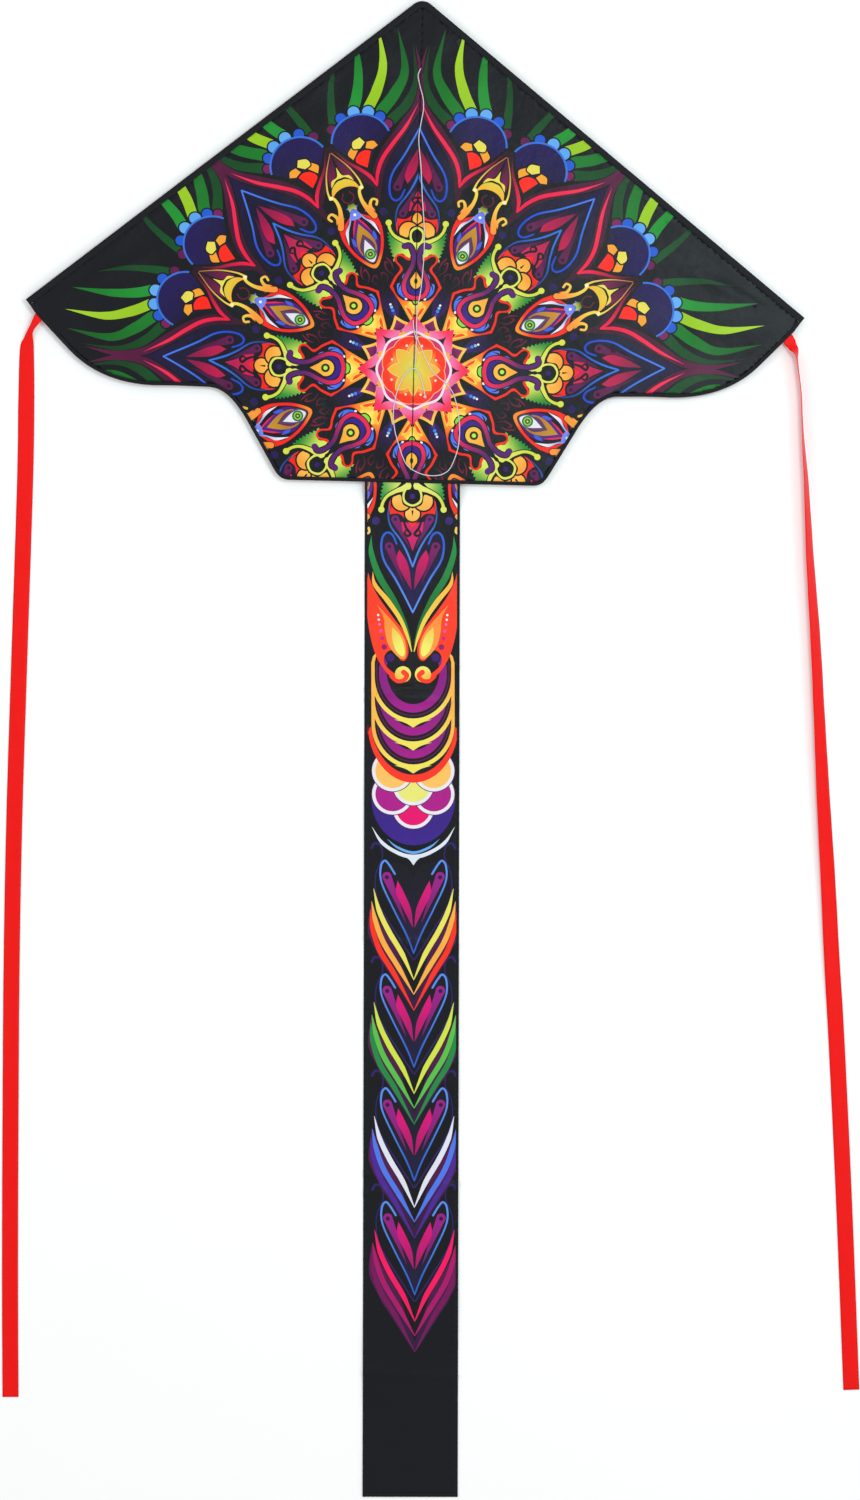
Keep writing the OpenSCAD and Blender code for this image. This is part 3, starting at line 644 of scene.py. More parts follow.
for k in range(8):
    middle_items += middle.turned(22.5 + 45 * k)
for art, first in ((star, 0.0), (ring, None), (circle_rims, 22.5), (circle, 22.5), (petal_rims, 0.0),
                   (petals, 0.0), (beads, 22.5)):
    middle_items += art.items if first is None else [i for k in range(8) for i in art.turned(first + 45 * k)]
print(len(middle_items), "shapes in the middle")

# %% [markdown]
# ## Cutting the cloth along the print
# All the outlines of one sail go into a constrained Delaunay triangulation: it makes triangles that
# never cross an outline, so each triangle lies inside a known set of ornaments, and the one painted
# last gives it its ink. A grid of loose points is added, so that the plain ground bends as finely as
# the rest. Where two inks blend, each corner of a triangle gets its own mix.

# %% Where the print sits on the right-hand sail
def on_sail(points):
    """Rosette millimetres to sail millimetres: 4 mm nearer to the seam, a little shorter up the sail,
    and lifted by up to 11 mm towards the wing tip, where the cloth was cut slightly off the thread."""
    u, v = np.asarray(points, float).T
    x = u - 4.0
    y = np.where(v > 0, v * 0.975, v) - 2.5
    y = y + 11.5 * smoothstep((x - 190) / 200) * np.exp(-(y / 220) ** 2)
    return np.stack([x, y], 1)


sail_art = []
for art, first in ((fans, 0), (bands, 0), (windows, 0), (hearts, 0), (crowns, 22.5), (shields, 0)):
    sail_art += [item for k in range(8) for item in art.turned(first + 45 * k)]
sail_art += middle_items
print(len(sail_art), "shapes in the rosette")


# %% Cutting and inking
def inside(points, shape):
    """Which points an outline goes round: the sum, over its sides, of +1 for each side that crosses the
    level of the point upwards to its right and -1 for each that crosses it downwards, isn't zero."""
    x, y = points[:, :1], points[:, 1:]
    x0, y0 = shape.T
    x1, y1 = np.roll(shape, -1, 0).T
    to_left = (x1 - x0) * (y - y0) - (x - x0) * (y1 - y0)
    up, down = (y0 <= y) & (y1 > y) & (to_left > 0), (y0 > y) & (y1 <= y) & (to_left < 0)
    return up.sum(1) != down.sum(1)


def inked_sheet(edge, art, place, spacing, ground_ink):
    """Triangles inside an edge, cut along every outline of the artwork: points, triangles and the
    colours of the triangles' corners. place turns artwork millimetres into sheet millimetres."""
    low, high = edge.min(0) - 2, edge.max(0) + 2
    shapes = [(place(s[0]), place(s[3][None])[0], place(s[4][None])[0], s[1], s[2]) for s in art]
    shapes = [s for s in shapes if np.all(s[0].max(0) > low) and np.all(s[0].min(0) < high)]
    gx, gy = np.meshgrid(np.arange(low[0], high[0], spacing), np.arange(low[1], high[1], spacing))
    gx = gx + 0.5 * spacing * (np.arange(gx.shape[0]) % 2)[:, None]
    loose = np.stack([gx.ravel(), gy.ravel()], 1)
    loose = loose[inside(loose, edge)]
    outlines = [resample(np.vstack([edge, edge[:1]]), spacing)[:-1]] + [s[0] for s in shapes]
    counts = np.array([len(o) for o in outlines])
    ends = np.cumsum(counts)
    index = np.arange(ends[-1])
    after = index + 1
    after[ends - 1] = ends - counts
    points = np.vstack(outlines + [loose])
    cut = delaunay_2d_cdt(points.tolist(), np.stack([index, after], 1).tolist(), [], 0, 1e-4, False)
    flat = np.array([tuple(p) for p in cut[0]])
    tri = np.array(cut[2])
    middles = flat[tri].mean(1)
    keep = inside(middles, outlines[0])
    tri, middles = tri[keep], middles[keep]
    top = np.zeros(len(tri), int)
    for k, (shape, *_) in enumerate(shapes, 1):
        near = np.flatnonzero(np.all((middles > shape.min(0)) & (middles < shape.max(0)), axis=1))
        top[near[inside(middles[near], shape)]] = k
    a = np.array([[0, 0]] + [s[1] for s in shapes])
    b = np.array([[1, 0]] + [s[2] for s in shapes])
    first = np.array([ground_ink] + [s[3] for s in shapes])
    last = np.array([ground_ink] + [s[4] for s in shapes])
    d = (b - a)[top]
    t = np.einsum("tkc,tc->tk", flat[tri] - a[top][:, None], d) / np.maximum((d * d).sum(1), 1e-9)[:, None]
    t = smoothstep(t)[..., None]
    colours = first[top][:, None] * (1 - t) + last[top][:, None] * t
    used, tri = np.unique(tri, return_inverse=True)
    tri = tri.reshape(-1, 3)
    flat = flat[used]
    p, q = flat[tri[:, 1]] - flat[tri[:, 0]], flat[tri[:, 2]] - flat[tri[:, 0]]
    way = p[:, 0] * q[:, 1] - p[:, 1] * q[:, 0]
    tri[way < 0] = tri[way < 0][:, ::-1]
    colours[way < 0] = colours[way < 0][:, ::-1]
    keep = np.abs(way) > 1e-7
    return flat, tri[keep], colours[keep]


# %% [markdown]
# ## The outline of the sail
# The leading edge is a straight line from the rounded nose to the wing tip. The trailing edge is three
# soft curves: out of the tip, round a shallow bay, and down to the straight foot over the tail. The
# numbers repeat those of the CAD part, in millimetres.

# %% Edges of the right-hand sail
NOSE_RADIUS, NOSE_MIDDLE = 20.0, np.array([0.0, 531.0])
TIP = np.array([584.5, 89.4])
ALONG = np.array([0.7812, -0.6243])
INWARD = np.array([-0.6243, -0.7812])
LEAD_START = NOSE_MIDDLE - NOSE_RADIUS * INWARD
SAIL_TOP = 11.5
SLEEVE, HEM = 10.0, 5.5


def bezier(a, b, c, d, count=14):
    """Cubic through a and d, pulled towards b and c."""
    t = np.linspace(0, 1, count, endpoint=False)[:, None]
    a, b, c, d = (np.array(p, float) for p in (a, b, c, d))
    return a * (1 - t) ** 3 + 3 * b * t * (1 - t) ** 2 + 3 * c * t ** 2 * (1 - t) + d * t ** 3


trailing = np.vstack([[TIP], [TIP + 10 * INWARD], [(568.5, 67.8)],
                      bezier((517.5, 15.3), (475, -28), (420, -35), (385, -35)),
                      bezier((385, -35), (355, -34), (335, -35), (305, -35.5), 6),
                      bezier((305, -35.5), (280, -37), (262, -62), (247, -86)),
                      bezier((207, -155), (200, -167), (194, -172), (182, -172), 8),
                      [(182, -172), (0, -172)]])
print("trailing edge", round(arc_length(trailing)[-1]), "mm")


# %% Inset edges
def inset(line, distance):
    """The line moved sideways by a distance: each point goes along the line's own normal, stretched at a
    bend by one over the cosine of half the turn."""
    step = np.diff(line, axis=0)
    step /= np.linalg.norm(step, axis=1, keepdims=True)
    n = np.stack([step[:, 1], -step[:, 0]], 1)
    n = np.vstack([n[:1], n[:-1] + n[1:], n[-1:]])
    n /= np.linalg.norm(n, axis=1, keepdims=True)
    full = np.vstack([step[:1], step])
    m = np.stack([full[:, 1], -full[:, 0]], 1)
    return line + n * (distance / np.maximum((n * m).sum(1), 0.4))[:, None]


nose_turn = np.radians(np.linspace(90, 51.4, 8))
leading = np.vstack([NOSE_MIDDLE + NOSE_RADIUS * np.stack([np.cos(nose_turn), np.sin(nose_turn)], 1), [TIP]])
TUCK = 1.0          # how far the printed cloth runs in under its bands
lead_inner = inset(leading, SLEEVE - TUCK)
trail_inner = inset(trailing[1:], HEM - TUCK)
corner = TIP + (SLEEVE - TUCK) * INWARD - 4.2 * ALONG
lead_inner[-1] = corner
lead_inner[0, 0] = 0.0
trail_inner[0] = corner
trail_inner[-1, 0] = 0.0
sail_edge = np.vstack([lead_inner, trail_inner[1:]])[::-1]
print("print edge", len(sail_edge), "points")


# %% [markdown]
# ## How the cloth lies
# A sail of light cloth on a frame isn't flat: it sags a little between the rods, a faint ridge runs
# beside the leading band where the seam pulls it, and shallow folds run out of the wing tips. The
# height is a sum of such smooth waves, each a ridge or a dip with a place, a direction and a width.

# %% Height of the sail
def fold(x, y, start, end, height, width, fade=0.3):
    """A soft ridge along the line from start to end: a bell across it, fading at both ends."""
    a, b = np.array(start, float), np.array(end, float)
    d = b - a
    length = np.linalg.norm(d)
    d /= length
    along = ((x - a[0]) * d[0] + (y - a[1]) * d[1]) / length
    across = (x - a[0]) * -d[1] + (y - a[1]) * d[0]
    grow_in = smoothstep((along + 0.1) / fade) * smoothstep((1.1 - along) / fade)
    return height * np.exp(-(across / width) ** 2) * grow_in


FOLDS = [((570, 84), (380, 168), 1.5, 9), ((560, 76), (400, 60), 1.2, 12), ((566, 88), (300, 296), 0.9, 5),
         ((545, 100), (440, 200), -1.3, 16), ((470, 170), (420, 250), 1.0, 11),
         ((520, 60), (470, 10), 0.8, 9),
         ((330, 278), (250, 150), -1.0, 30), ((330, 283), (430, 110), -0.8, 34),
         ((60, 470), (20, 300), 0.8, 22),
         ((240, -95), (330, 20), 0.9, 20), ((200, -150), (120, 0), 0.7, 24), ((410, -30), (430, 90), 0.8, 18),
         ((130, 430), (60, 250), -0.9, 26), ((250, 340), (170, 180), 0.8, 30),
         ((90, -165), (60, 60), 0.6, 20)]


def sail_height(x, y, side):
    """Millimetres above the flat sail. The sag is the product of the distances from the seam, the leading
    edge and the trailing side, each smoothed; the folds are added, and all of it dies out at the edges."""
    x = np.abs(x)
    from_lead = (x - LEAD_START[0]) * INWARD[0] + (y - LEAD_START[1]) * INWARD[1]
    clear_of_edges = smoothstep((from_lead - 8) / 26) * smoothstep(x / 30)
    wave = sum(fold(x, y, a, b, h * (1.0 if side > 0 else 0.8), w) for a, b, h, w in FOLDS)
    wander = 0.45 * np.sin(x / 41 + y / 63 + side) + 0.35 * np.sin(x / 23 - y / 37 + 2 * side) \
        + 0.25 * np.sin(y / 19 + x / 52)
    sag = -2.2 * smoothstep(x / 160) * smoothstep((from_lead - 10) / 140)
    beside = 0.5 * np.exp(-((from_lead - 15) / 3.0) ** 2) * smoothstep((x - 20) / 60)
    free = smoothstep((y + 172) / 25)
    waves = sag * (0.4 + 0.6 * free) + 0.9 * wave + wander * (0.35 + 0.65 * free)
    return clear_of_edges * waves + beside


# %% The two printed sails
def to_metres(flat, height):
    return np.column_stack([flat, height]) * MM


def ink(piece, colours):
    """Writes corner colours, in the order of the triangles' corners, into the attribute the cloth reads."""
    layer = piece.data.color_attributes.new("ink", "FLOAT_COLOR", "CORNER")
    layer.data.foreach_set("color", np.asarray(colours, np.float32).reshape(-1))


def thickened(piece, millimetres, offset=-1, lining=None):
    """Gives a sheet its thickness; offset -1 puts it all below the sheet, and 0 half on each side. A
    lining is the finish of the other face."""
    cloth = piece.modifiers.new("cloth", "SOLIDIFY")
    cloth.thickness, cloth.offset = millimetres * MM, offset
    if lining:
        piece.data.materials.append(lining)
        cloth.material_offset = 1


def folds_at_spine(piece):
    """Half of the kite: its placing is baked into its mesh, and it is not tied to the spine or to a wing."""
    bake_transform(piece)


def sewn_on(piece, body, node):
    """A piece that moves with one body and stands in for one CAD node."""
    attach(piece, body)
    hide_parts(node)


DEPTH = 1.28        # the wet ink's contrast: shades of the design become this power of themselves
flat, tri, colours = inked_sheet(sail_edge, sail_art, on_sail, 6.0, np.array(light("#0f1722")))
print("sail cut into", len(tri), "triangles")
deep = colours.copy()
deep[..., :3] = colours[..., :3] ** DEPTH
sails = {}
for side, name in ((-1, "left"), (1, "right")):
    z = SAIL_TOP + sail_height(flat[:, 0], flat[:, 1], side)
    points = to_metres(flat * np.array([side, 1]), z)
    faces = tri if side > 0 else tri[:, ::-1]
    inks = deep if side > 0 else deep[:, ::-1]
    sails[side] = as_piece(name + "_sail", points, faces, PRINT_FRONT)
    ink(sails[side], inks)
    thickened(sails[side], 0.4, lining=PRINT_BACK)
    x, y = flat[tri].transpose(2, 0, 1)
    folds_at_spine(sails[side])
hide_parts("left_sail_panel", "centre_panel")
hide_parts("right_sail_panel")

# %% [markdown]
# ## Bands sewn round the edges
# The leading edge is a sleeve: the cloth is folded round the rod and sewn down, so from above it is a
# flat black band ten millimetres wide, and from below a soft tube. The trailing edge is a narrow rolled
# hem. Both are a profile, a closed loop of distance in from the edge and height, carried along the edge.

# %% Strip along an edge
def heading_and_right(line):
    """The heading at each point of a flat line, and the direction a quarter turn to its right."""
    t = np.gradient(line, axis=0)
    t /= np.linalg.norm(t, axis=1, keepdims=True)
    return t, np.stack([t[:, 1], -t[:, 0]], 1)


def loop_around(profile):
    """Length round a closed profile up to each of its points."""
    return arc_length(np.vstack([profile, profile[:1]]))[:-1]


def carried_loop(name, points, along, around, material, crease=50):
    """A closed loop of points for each step of a path, with both ends capped. The UV map is the length
    along the path and around the loop, and an edge that turns by more than the crease stays sharp."""
    rows, n = points.shape[:2]
    caps = [list(range(n))[::-1], list(range((rows - 1) * n, rows * n))]
    faces = grid_faces(rows, n, True).tolist() + caps
    uv = np.stack(np.broadcast_arrays(along[:, None], around[None]), -1).reshape(-1, 2) * MM
    piece = close_poles(as_piece(name, points.reshape(-1, 3) * MM, faces, material, uv))
    piece.data.set_sharp_from_angle(angle=np.radians(crease))
    return piece


PUCKER, BAND_UNDERSIDE = 0.12, 10.85


def carried(name, edge, profile, material, side, flatten=None):
    """A closed profile carried along an edge line: point = edge + inward * u, at height z, where inward is
    the edge's own normal. A small ripple along the edge, sin(s) times the profile's height, puckers it.
    flatten(s) from 0 to 1 draws the lower part of the profile up to the band, where there is no tube."""
    s = arc_length(edge)
    p = np.asarray(profile, float)
    inward = heading_and_right(edge)[1] * side
    z = np.repeat(p[None, :, 1], len(s), 0)
    if flatten is not None:
        k = flatten(s)[:, None]
        z = z * (1 - k) + np.maximum(z, BAND_UNDERSIDE) * k
    ripple = np.sin(s / 2.1) * 0.6 + np.sin(s / 5.3 + 1)
    share = (np.abs(z - SAIL_TOP) < 0.6) * (0.2 + 0.8 * (p[None, :, 0] / p[:, 0].max()))
    z = z + PUCKER * ripple[:, None] * share
    xy = edge[:, None] + inward[:, None] * p[None, :, :1]
    return carried_loop(name, np.concatenate([xy, z[..., None]], 2), s, loop_around(p), material)


def mirrored(line):
    return line * np.array([-1, 1])


sleeve_profile = [(0.0, 10.2), (0.15, 11.2), (0.7, 11.75), (2.5, 11.9), (6, 11.9), (9.6, 11.85), (10, 11.6),
                  (10, 11.2), (9.4, 10.6), (8.6, 7), (7.2, 5.2), (6, 4.6), (4, 4.6), (2.6, 5.2), (1, 6.6),
                  (0.1, 8.6)]
lead_line = resample(leading, 3.0)
nose_length = arc_length(leading)[-2]


def no_tube(s):
    """1 where the sleeve is only a flat band: round the nose, and across the window over the fitting."""
    on_line = s - nose_length
    window = smoothstep((on_line - 388) / 2) * smoothstep((438 - on_line) / 2)
    return np.clip(smoothstep((6 - on_line) / 4) + window, 0, 1)


for side, name in ((1, "right"), (-1, "left")):
    line = lead_line if side > 0 else mirrored(lead_line)
    piece = carried(name + "_sleeve", line, sleeve_profile, TAPE, side, no_tube)
    folds_at_spine(piece)
    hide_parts(name + "_leading_sleeve", *(["nose_binding"] if side > 0 else []))
print("leading sleeves", round(arc_length(lead_line)[-1]), "mm each")

# %% Trailing hems and tip patches
hem_profile = [(0.0, 11.2), (0.15, 11.6), (0.7, 11.9), (2.5, 11.95), (5.1, 11.9), (5.5, 11.65), (5.5, 10.9),
               (5.1, 10.6), (0.7, 10.55), (0.15, 10.8)]
trail_line = resample(trailing[1:], 3.0)
for side, name in ((1, "right"), (-1, "left")):
    line = trail_line if side > 0 else mirrored(trail_line)
    piece = carried(name + "_hem", line, hem_profile, TAPE, side)
    folds_at_spine(piece)
    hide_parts(name + "_trailing_hem", *(["centre_hem"] if side > 0 else []))
print("trailing hems", round(arc_length(trail_line)[-1]), "mm each")

# %% [markdown]
# ## The centre seam, the pockets and the tip patches
# The two sails meet in a seam, which shows from above as a thin dark valley between two rolled lips.
# Under it lies the spine pocket, a tube of black cloth like the sleeves, with a tape over its lower end
# and a stronger pocket at the nose. Where it meets the wing tip, a small patch backs the sleeve.

# %% Centre seam
seam_y = np.arange(-166.0, 541.0, 2.5)
seam_x = np.array([-0.75, -0.6, -0.4, -0.15, 0, 0.15, 0.4, 0.6, 0.75])
seam_z = np.array([11.5, 11.62, 11.7, 11.6, 11.45, 11.6, 11.7, 11.62, 11.5])
yy, xx = np.meshgrid(seam_y, seam_x, indexing="ij")
zz = seam_z[None] + 0.04 * np.sin(yy / 1.6) * (np.abs(xx) > 0.3) * (np.abs(xx) < 0.7)
xx = xx * (1 + 0.12 * np.sin(yy / 7.0) + 0.08 * np.sin(yy / 3.1))
seam = as_piece("centre_seam_lips", to_metres(np.stack([xx.ravel(), yy.ravel()], 1), zz.ravel()),
                grid_faces(len(seam_y), len(seam_x))[:, ::-1], TAPE,
                np.stack([yy.ravel(), xx.ravel()], 1) * MM)
thickened(seam, 0.25)
sewn_on(seam, "spine", "centre_seam")

# %% Spine pocket, nose pocket and end tape
def pocket(name, section, y0, y1, node, material=POCKET_CLOTH, step=4.0, pucker=0.18):
    """A closed section, across and height, carried along the spine with a slow ripple across its flanks."""
    y = np.linspace(y1, y0, int((y1 - y0) / step) + 2)
    p = np.asarray(section, float)
    ripple = 1 + 0.02 * np.sin(y / 9.0) + 0.012 * np.sin(y / 4.3)
    flank = p[None, :, 1] < LIP
    x = p[None, :, 0] * ripple[:, None]
    z = p[None, :, 1] - (pucker * np.abs(np.sin(y / 6.1)))[:, None] * flank
    points = np.stack([x, np.repeat(y[:, None], len(p), 1), z], 2)
    sewn_on(carried_loop(name, points, y, loop_around(p), material), "spine", node)


LIP = 10            # height under which a pocket's section is its tube, above it the sewn edge
spine_section = [(-9, 11.0), (-9, 10.6), (-6.8, 9.0), (-4.9, 6.1), (-3.6, 4.9), (-1.8, 4.45), (0, 4.35),
                 (1.8, 4.45),
                 (3.6, 4.9), (4.9, 6.1), (6.8, 9.0), (9, 10.6), (9, 11.0)]
pocket("spine_pocket_cloth", spine_section, -138, 515, "spine_pocket")
outer_section = [(x * 1.02, z - (0.4 if z < LIP else 0)) for x, z in spine_section]
pocket("nose_pocket_cloth", outer_section, 514.5, 531.5, "nose_pocket", TAPE, 1.5, 0.1)
pocket("pocket_end_tape_cloth", outer_section, -152, -137.5, "pocket_end_tape", TAPE, 1.5, 0.1)

# %% Tip patches
lead_length = np.linalg.norm(TIP - LEAD_START)
a, b, c = (LEAD_START + s * ALONG + w * INWARD for s, w in
           ((lead_length - 44, 10.2), (lead_length - 6.5, 10.2), (lead_length - 6.5, 34.0)))
u, v = np.meshgrid(np.linspace(0, 1, 14), np.linspace(0, 1, 14), indexing="ij")
patch_xy = (a + u[..., None] * (b - a) + (u * v)[..., None] * (c - b)).reshape(-1, 2)
patch_z = 10.75 - 0.12 * np.abs(np.sin(patch_xy[:, 0] / 3)) * (v.ravel() < 0.95)
for side, name in ((1, "right"), (-1, "left")):
    faces = grid_faces(14, 14) if side < 0 else grid_faces(14, 14)[:, ::-1]
    piece = as_piece(name + "_tip_patch_cloth", to_metres(patch_xy * np.array([side, 1]), patch_z), faces,
                     TAPE,
                     patch_xy * MM)
    close_poles(piece)
    thickened(piece, 0.4, 0)
    sewn_on(piece, name + "_wing", name + "_tip_patch")
print("seam, pockets and patches made")

# %% [markdown]
# ## Ribbon streamers
# Each ribbon is a flat satin strip sewn under the hem at the wing tip. The left one is pinched to a point
# below its tab and then lies flat; the right one turns on its edge and slowly untwists down its length.
# A strip is a line of places with a width and a roll at each, and its two edges are the place plus and
# minus half the width along a direction that the roll tilts out of the level.

# %% Ribbons
RIBBON_COLUMNS, RIBBON_LOWEST = 7, 0.25


def ribbon(name, rows, body, node):
    """Strip through rows of x, y, height, width and roll: across = cos(roll) * side + sin(roll) * up."""
    fine = resample(spline(np.array(rows, float), 12), 5.0)
    line, width, roll = fine[:, :3], fine[:, 3], np.radians(fine[:, 4])
    heading, side, up = frames_along(line)
    across = np.cos(roll)[:, None] * side + np.sin(roll)[:, None] * up
    v = np.linspace(-0.5, 0.5, RIBBON_COLUMNS)
    s = arc_length(line)
    points = line[:, None] - v[None, :, None] * (width[:, None, None] * across[:, None])
    cup = (0.25 - v ** 2)[None] * (0.8 + 0.5 * np.sin(s / 37.0))[:, None]
    through = np.cross(across, heading)
    through *= np.sign(through[:, 2:] + 1e-9)
    points = points + through[:, None] * (cup + 0.25 + 0.25 * np.sin(s / 23.0 + 1)[:, None] ** 2)[..., None]
    uv = np.stack(np.broadcast_arrays(s[:, None], v[None] * width[:, None]), -1).reshape(-1, 2) * MM
    points[..., 2] = np.maximum(points[..., 2], RIBBON_LOWEST)
    piece = as_piece(name, points.reshape(-1, 3) * MM, grid_faces(len(s), RIBBON_COLUMNS), RIBBON, uv)
    if sum(p.normal.z for p in piece.data.polygons) < 0:
        piece.data.flip_normals()
    thickened(piece, 0.22, 0)
    sewn_on(piece, body, node)
    print(name, round(s[-1]), "mm long")


LEFT_ROWS = [(-560, 70, 10.0, 15, 0), (-566, 61, 9.7, 13.5, 0), (-573, 50, 8, 9, 0), (-578, 40, 5, 9.5, 0),
             (-580, 28, 1.6, 16, 0), (-582, 14, 0.2, 21, 0), (-581, -60, 0, 24, 0), (-580, -180, 0, 24, 0),
             (-582, -420, 0, 24, 0), (-584, -680, 0, 24, 0), (-583, -900, 0, 24, 0), (-579, -1140, 0, 24, 0),
             (-574, -1380, 0, 24, 0), (-569, -1559, 0, 24, 0)]
RIGHT_ROWS = [(554, 68, 10.0, 15, 0), (560, 58, 9.7, 17, 0), (563.8, 51.5, 9.7, 17, 0),
              (567, 46, 10.8, 15, 18),
              (573, 34, 12.3, 24, 72), (577, 8, 12.3, 24, 80), (582, -30, 12.3, 24, 80),
              (585, -80, 12.2, 24, 78),
              (592, -154, 11.8, 24, 68), (601, -273, 10.6, 24, 56), (612, -393, 9.3, 24, 46),
              (621, -513, 8.3, 24, 40), (630, -633, 6.2, 24, 29), (640, -753, 4.3, 24, 19),
              (649, -873, 2.4, 24, 10),
              (659, -993, 0.5, 24, 0), (676, -1232, 0.2, 24, 0), (694, -1518, 0, 24, 0)]
ribbon("left_streamer", LEFT_ROWS, "left_ribbon", "left_ribbon")
ribbon("right_streamer", RIGHT_ROWS, "right_ribbon", "right_ribbon")

# %% [markdown]
# ## The tail
# The tail is one long strip of the same cloth, hemmed all round and sewn under the foot of the sail. Its
# print goes on from the rosette: the lowest hearts, a pair of flames with curls, nested arcs, a patch of
# fish scales, and then four hearts, each over three chevrons in its own inks. The outlines are given as
# distance down the tail and distance across it.

# %% Tail ornaments: flames, curls and arcs
tail_art = Artwork()
tail_art.paint(brush([(78, 62), (105, 62), (140, 50), (175, 29), (210, 12), (243, 1)], [0, 8, 10, 9, 6, 0]),
               "#1f8a40", "#186a30", (80, 60), (240, 0), both=True)
tail_art.paint(brush([(132, 60), (152, 57), (176, 38), (204, 19), (230, 8), (256, 1)],
                     [0, 6, 7.5, 6.5, 4.5, 1]),
               "#fcb840", "#ecd850", (135, 60), (250, 2), both=True)


def hanging_arc(bottom, half_width, depth, spread=90):
    """Half of an ellipse hung on the axis: distance down = bottom - depth * (1 - cos t), across = half
    width * sin t, for t up to the spread on each side."""
    t = np.radians(np.linspace(-spread, spread, 25))
    return np.stack([bottom - depth * (1 - np.cos(t)), half_width * np.sin(t)], 1)


def bowl(bottom, half_width, depth, top):
    """A filled half-ellipse with straight sides, which draw in a little at the top."""
    rim = np.array([(top + 16, half_width), (top + 6, half_width - 2.5), (top, half_width - 8)])
    return np.vstack([hanging_arc(bottom, half_width, depth), rim, rim[::-1] * np.array([1, -1])])


# %% Tail ornaments: scales under nested cups
tail_art.paint(disc(474, 0, 70, 0.9, 40), "#2c1670", "#3a1e88", (400, 0), (540, 0))
for d, w, colour in ((488, 0, "#e8006c"), (467, 31, "#ae1488"), (467, -31, "#ae1488"), (453, 0, "#ece878"),
                     (432, 31, "#fdc260"), (432, -31, "#fdc260")):
    tail_art.paint(disc(d, w, 32.2, count=32), "#4a1a50")
    tail_art.paint(disc(d, w, 31, count=32), "#ece8f0")
    tail_art.paint(disc(d, w, 26, count=32), colour)
tail_art.paint(bowl(450, 68, 88, 362), "#fc3420")
tail_art.paint(bowl(438, 64, 84, 300), DARK)
CUP_STEP = 34.5
for level in (2, 1, 0):
    tip = 367 + CUP_STEP * level
    top = 254 + 26 * level
    tail_art.paint(outline([(tip - 12, 28), (tip - 12, 28), (tip - 7, 12), (tip, 0), (tip, 0), (tip - 7, -12),
                            (tip - 12, -28), (tip - 12, -28)]), "#f4e25c")
    for lift, half_width, drop_by, ink_low, ink_high in (
            (7.5, 62.5, 0, "#f4e25c", "#fcb848"), (13.5, 57.5, -1, "#0e1015", None),
                                                         (17, 55, 4, "#5c1450", None),
            (18.6, 53.6, 3, "#14101a", None), (22.5, 51, 8, "#a8128a", "#8c1480"),
                                                         (35, 40, 7, "#0e1015", None)):
        tail_art.paint(bowl(tip - lift, half_width, 70 - lift / 2, top + drop_by), ink_low, ink_high,
                       (tip - 15, 0),
                       (tip - 60, 0))
tail_art.paint(outline([(134, 67), (134, 67), (167, 70), (204, 68), (238, 62), (262, 54), (283, 41),
                        (294, 28),
                        (297, 19), (292, 12), (286, 13), (288, 22), (281, 34), (270, 43), (258, 42),
                        (251, 34),
                        (255, 25), (265, 19), (266, 12), (256, 7), (240, 8), (222, 14), (205, 27), (190, 38),
                        (170, 52), (150, 62)]), "#fc3c20", both=True)
tail_art.paint(disc(262, 32, 10), "#101016", both=True)
tail_art.paint(disc(262, 34, 6.2), "#3a1668", both=True)
tail_art.paint(outline([(182, 54), (182, 54), (202, 44), (222, 42), (244, 36), (261, 22), (263, 12),
                        (250, 10),
                        (234, 13), (214, 25)]), "#fc8c34", "#fc9c44", (190, 45), (250, 15), both=True)
tail_art.paint(outline([(216, 31), (216, 31), (234, 31), (252, 25), (260, 16), (254, 12), (238, 15),
                        (226, 21)]),
               "#f2ce54", "#f2f06c", (216, 30), (252, 15), both=True)
for d, w, r, colour in ((198, 52, 1.7, "#ffffff"), (205, 51, 1.8, "#fde8f4"), (212, 50, 2, "#f070b0"),
                        (222, 48, 2.6, "#f050a0"), (233, 46, 3.2, "#d02080"), (246, 43, 4.2, "#9a1060")):
    tail_art.paint(disc(d, w, r), colour, both=True)
tail_art.paint(disc(287, 15, 12.2), "#f4e66c", "#f0b848", (280, 10), (298, 18), both=True)
tail_art.paint(brush([(290, 33), (297, 24), (296, 14), (289, 9), (284, 14)], [5, 6, 6, 7, 8]), "#fc3c20",
               both=True)
print("flames, cups and scales drawn")

# %% Tail ornaments: arcs, hearts and chevrons
tail_art.paint(brush([(534, 40), (547, 24), (555, 0), (547, -24), (534, -40)], [0, 3.4, 4, 3.4, 0]),
               "#68a8f0")
tail_art.paint(brush([(515, 63), (540, 47), (556, 22), (561, 0), (556, -22), (540, -47), (515, -63)],
                     [0, 5, 5.5, 6, 5.5, 5, 0]), "#e2e8f2")
tail_art.paint(outline([(560, 14), (560, 14), (566, 6), (574, 0), (574, 0), (566, -6), (560, -14),
                        (560, -14)]),
               "#e2e8f2")
HEART_PITCH = 171
CHEVRONS = ["#ece45c #fcb040 #fc3018", "#d4e44a #58c048 #1c8a42", "#e6e6f4 #4f78ec #4a2494",
            "#fc0a64 #ae0a68 #740a58"]
STRIPES = [((609, 60), (642, 52), (674, 37), (708, 17), (746, 0)),
           ((628, 63), (655, 58), (689, 46), (729, 22), (768, 0)),
           ((640, 65), (668, 62), (702, 51), (738, 29), (792, 0))]
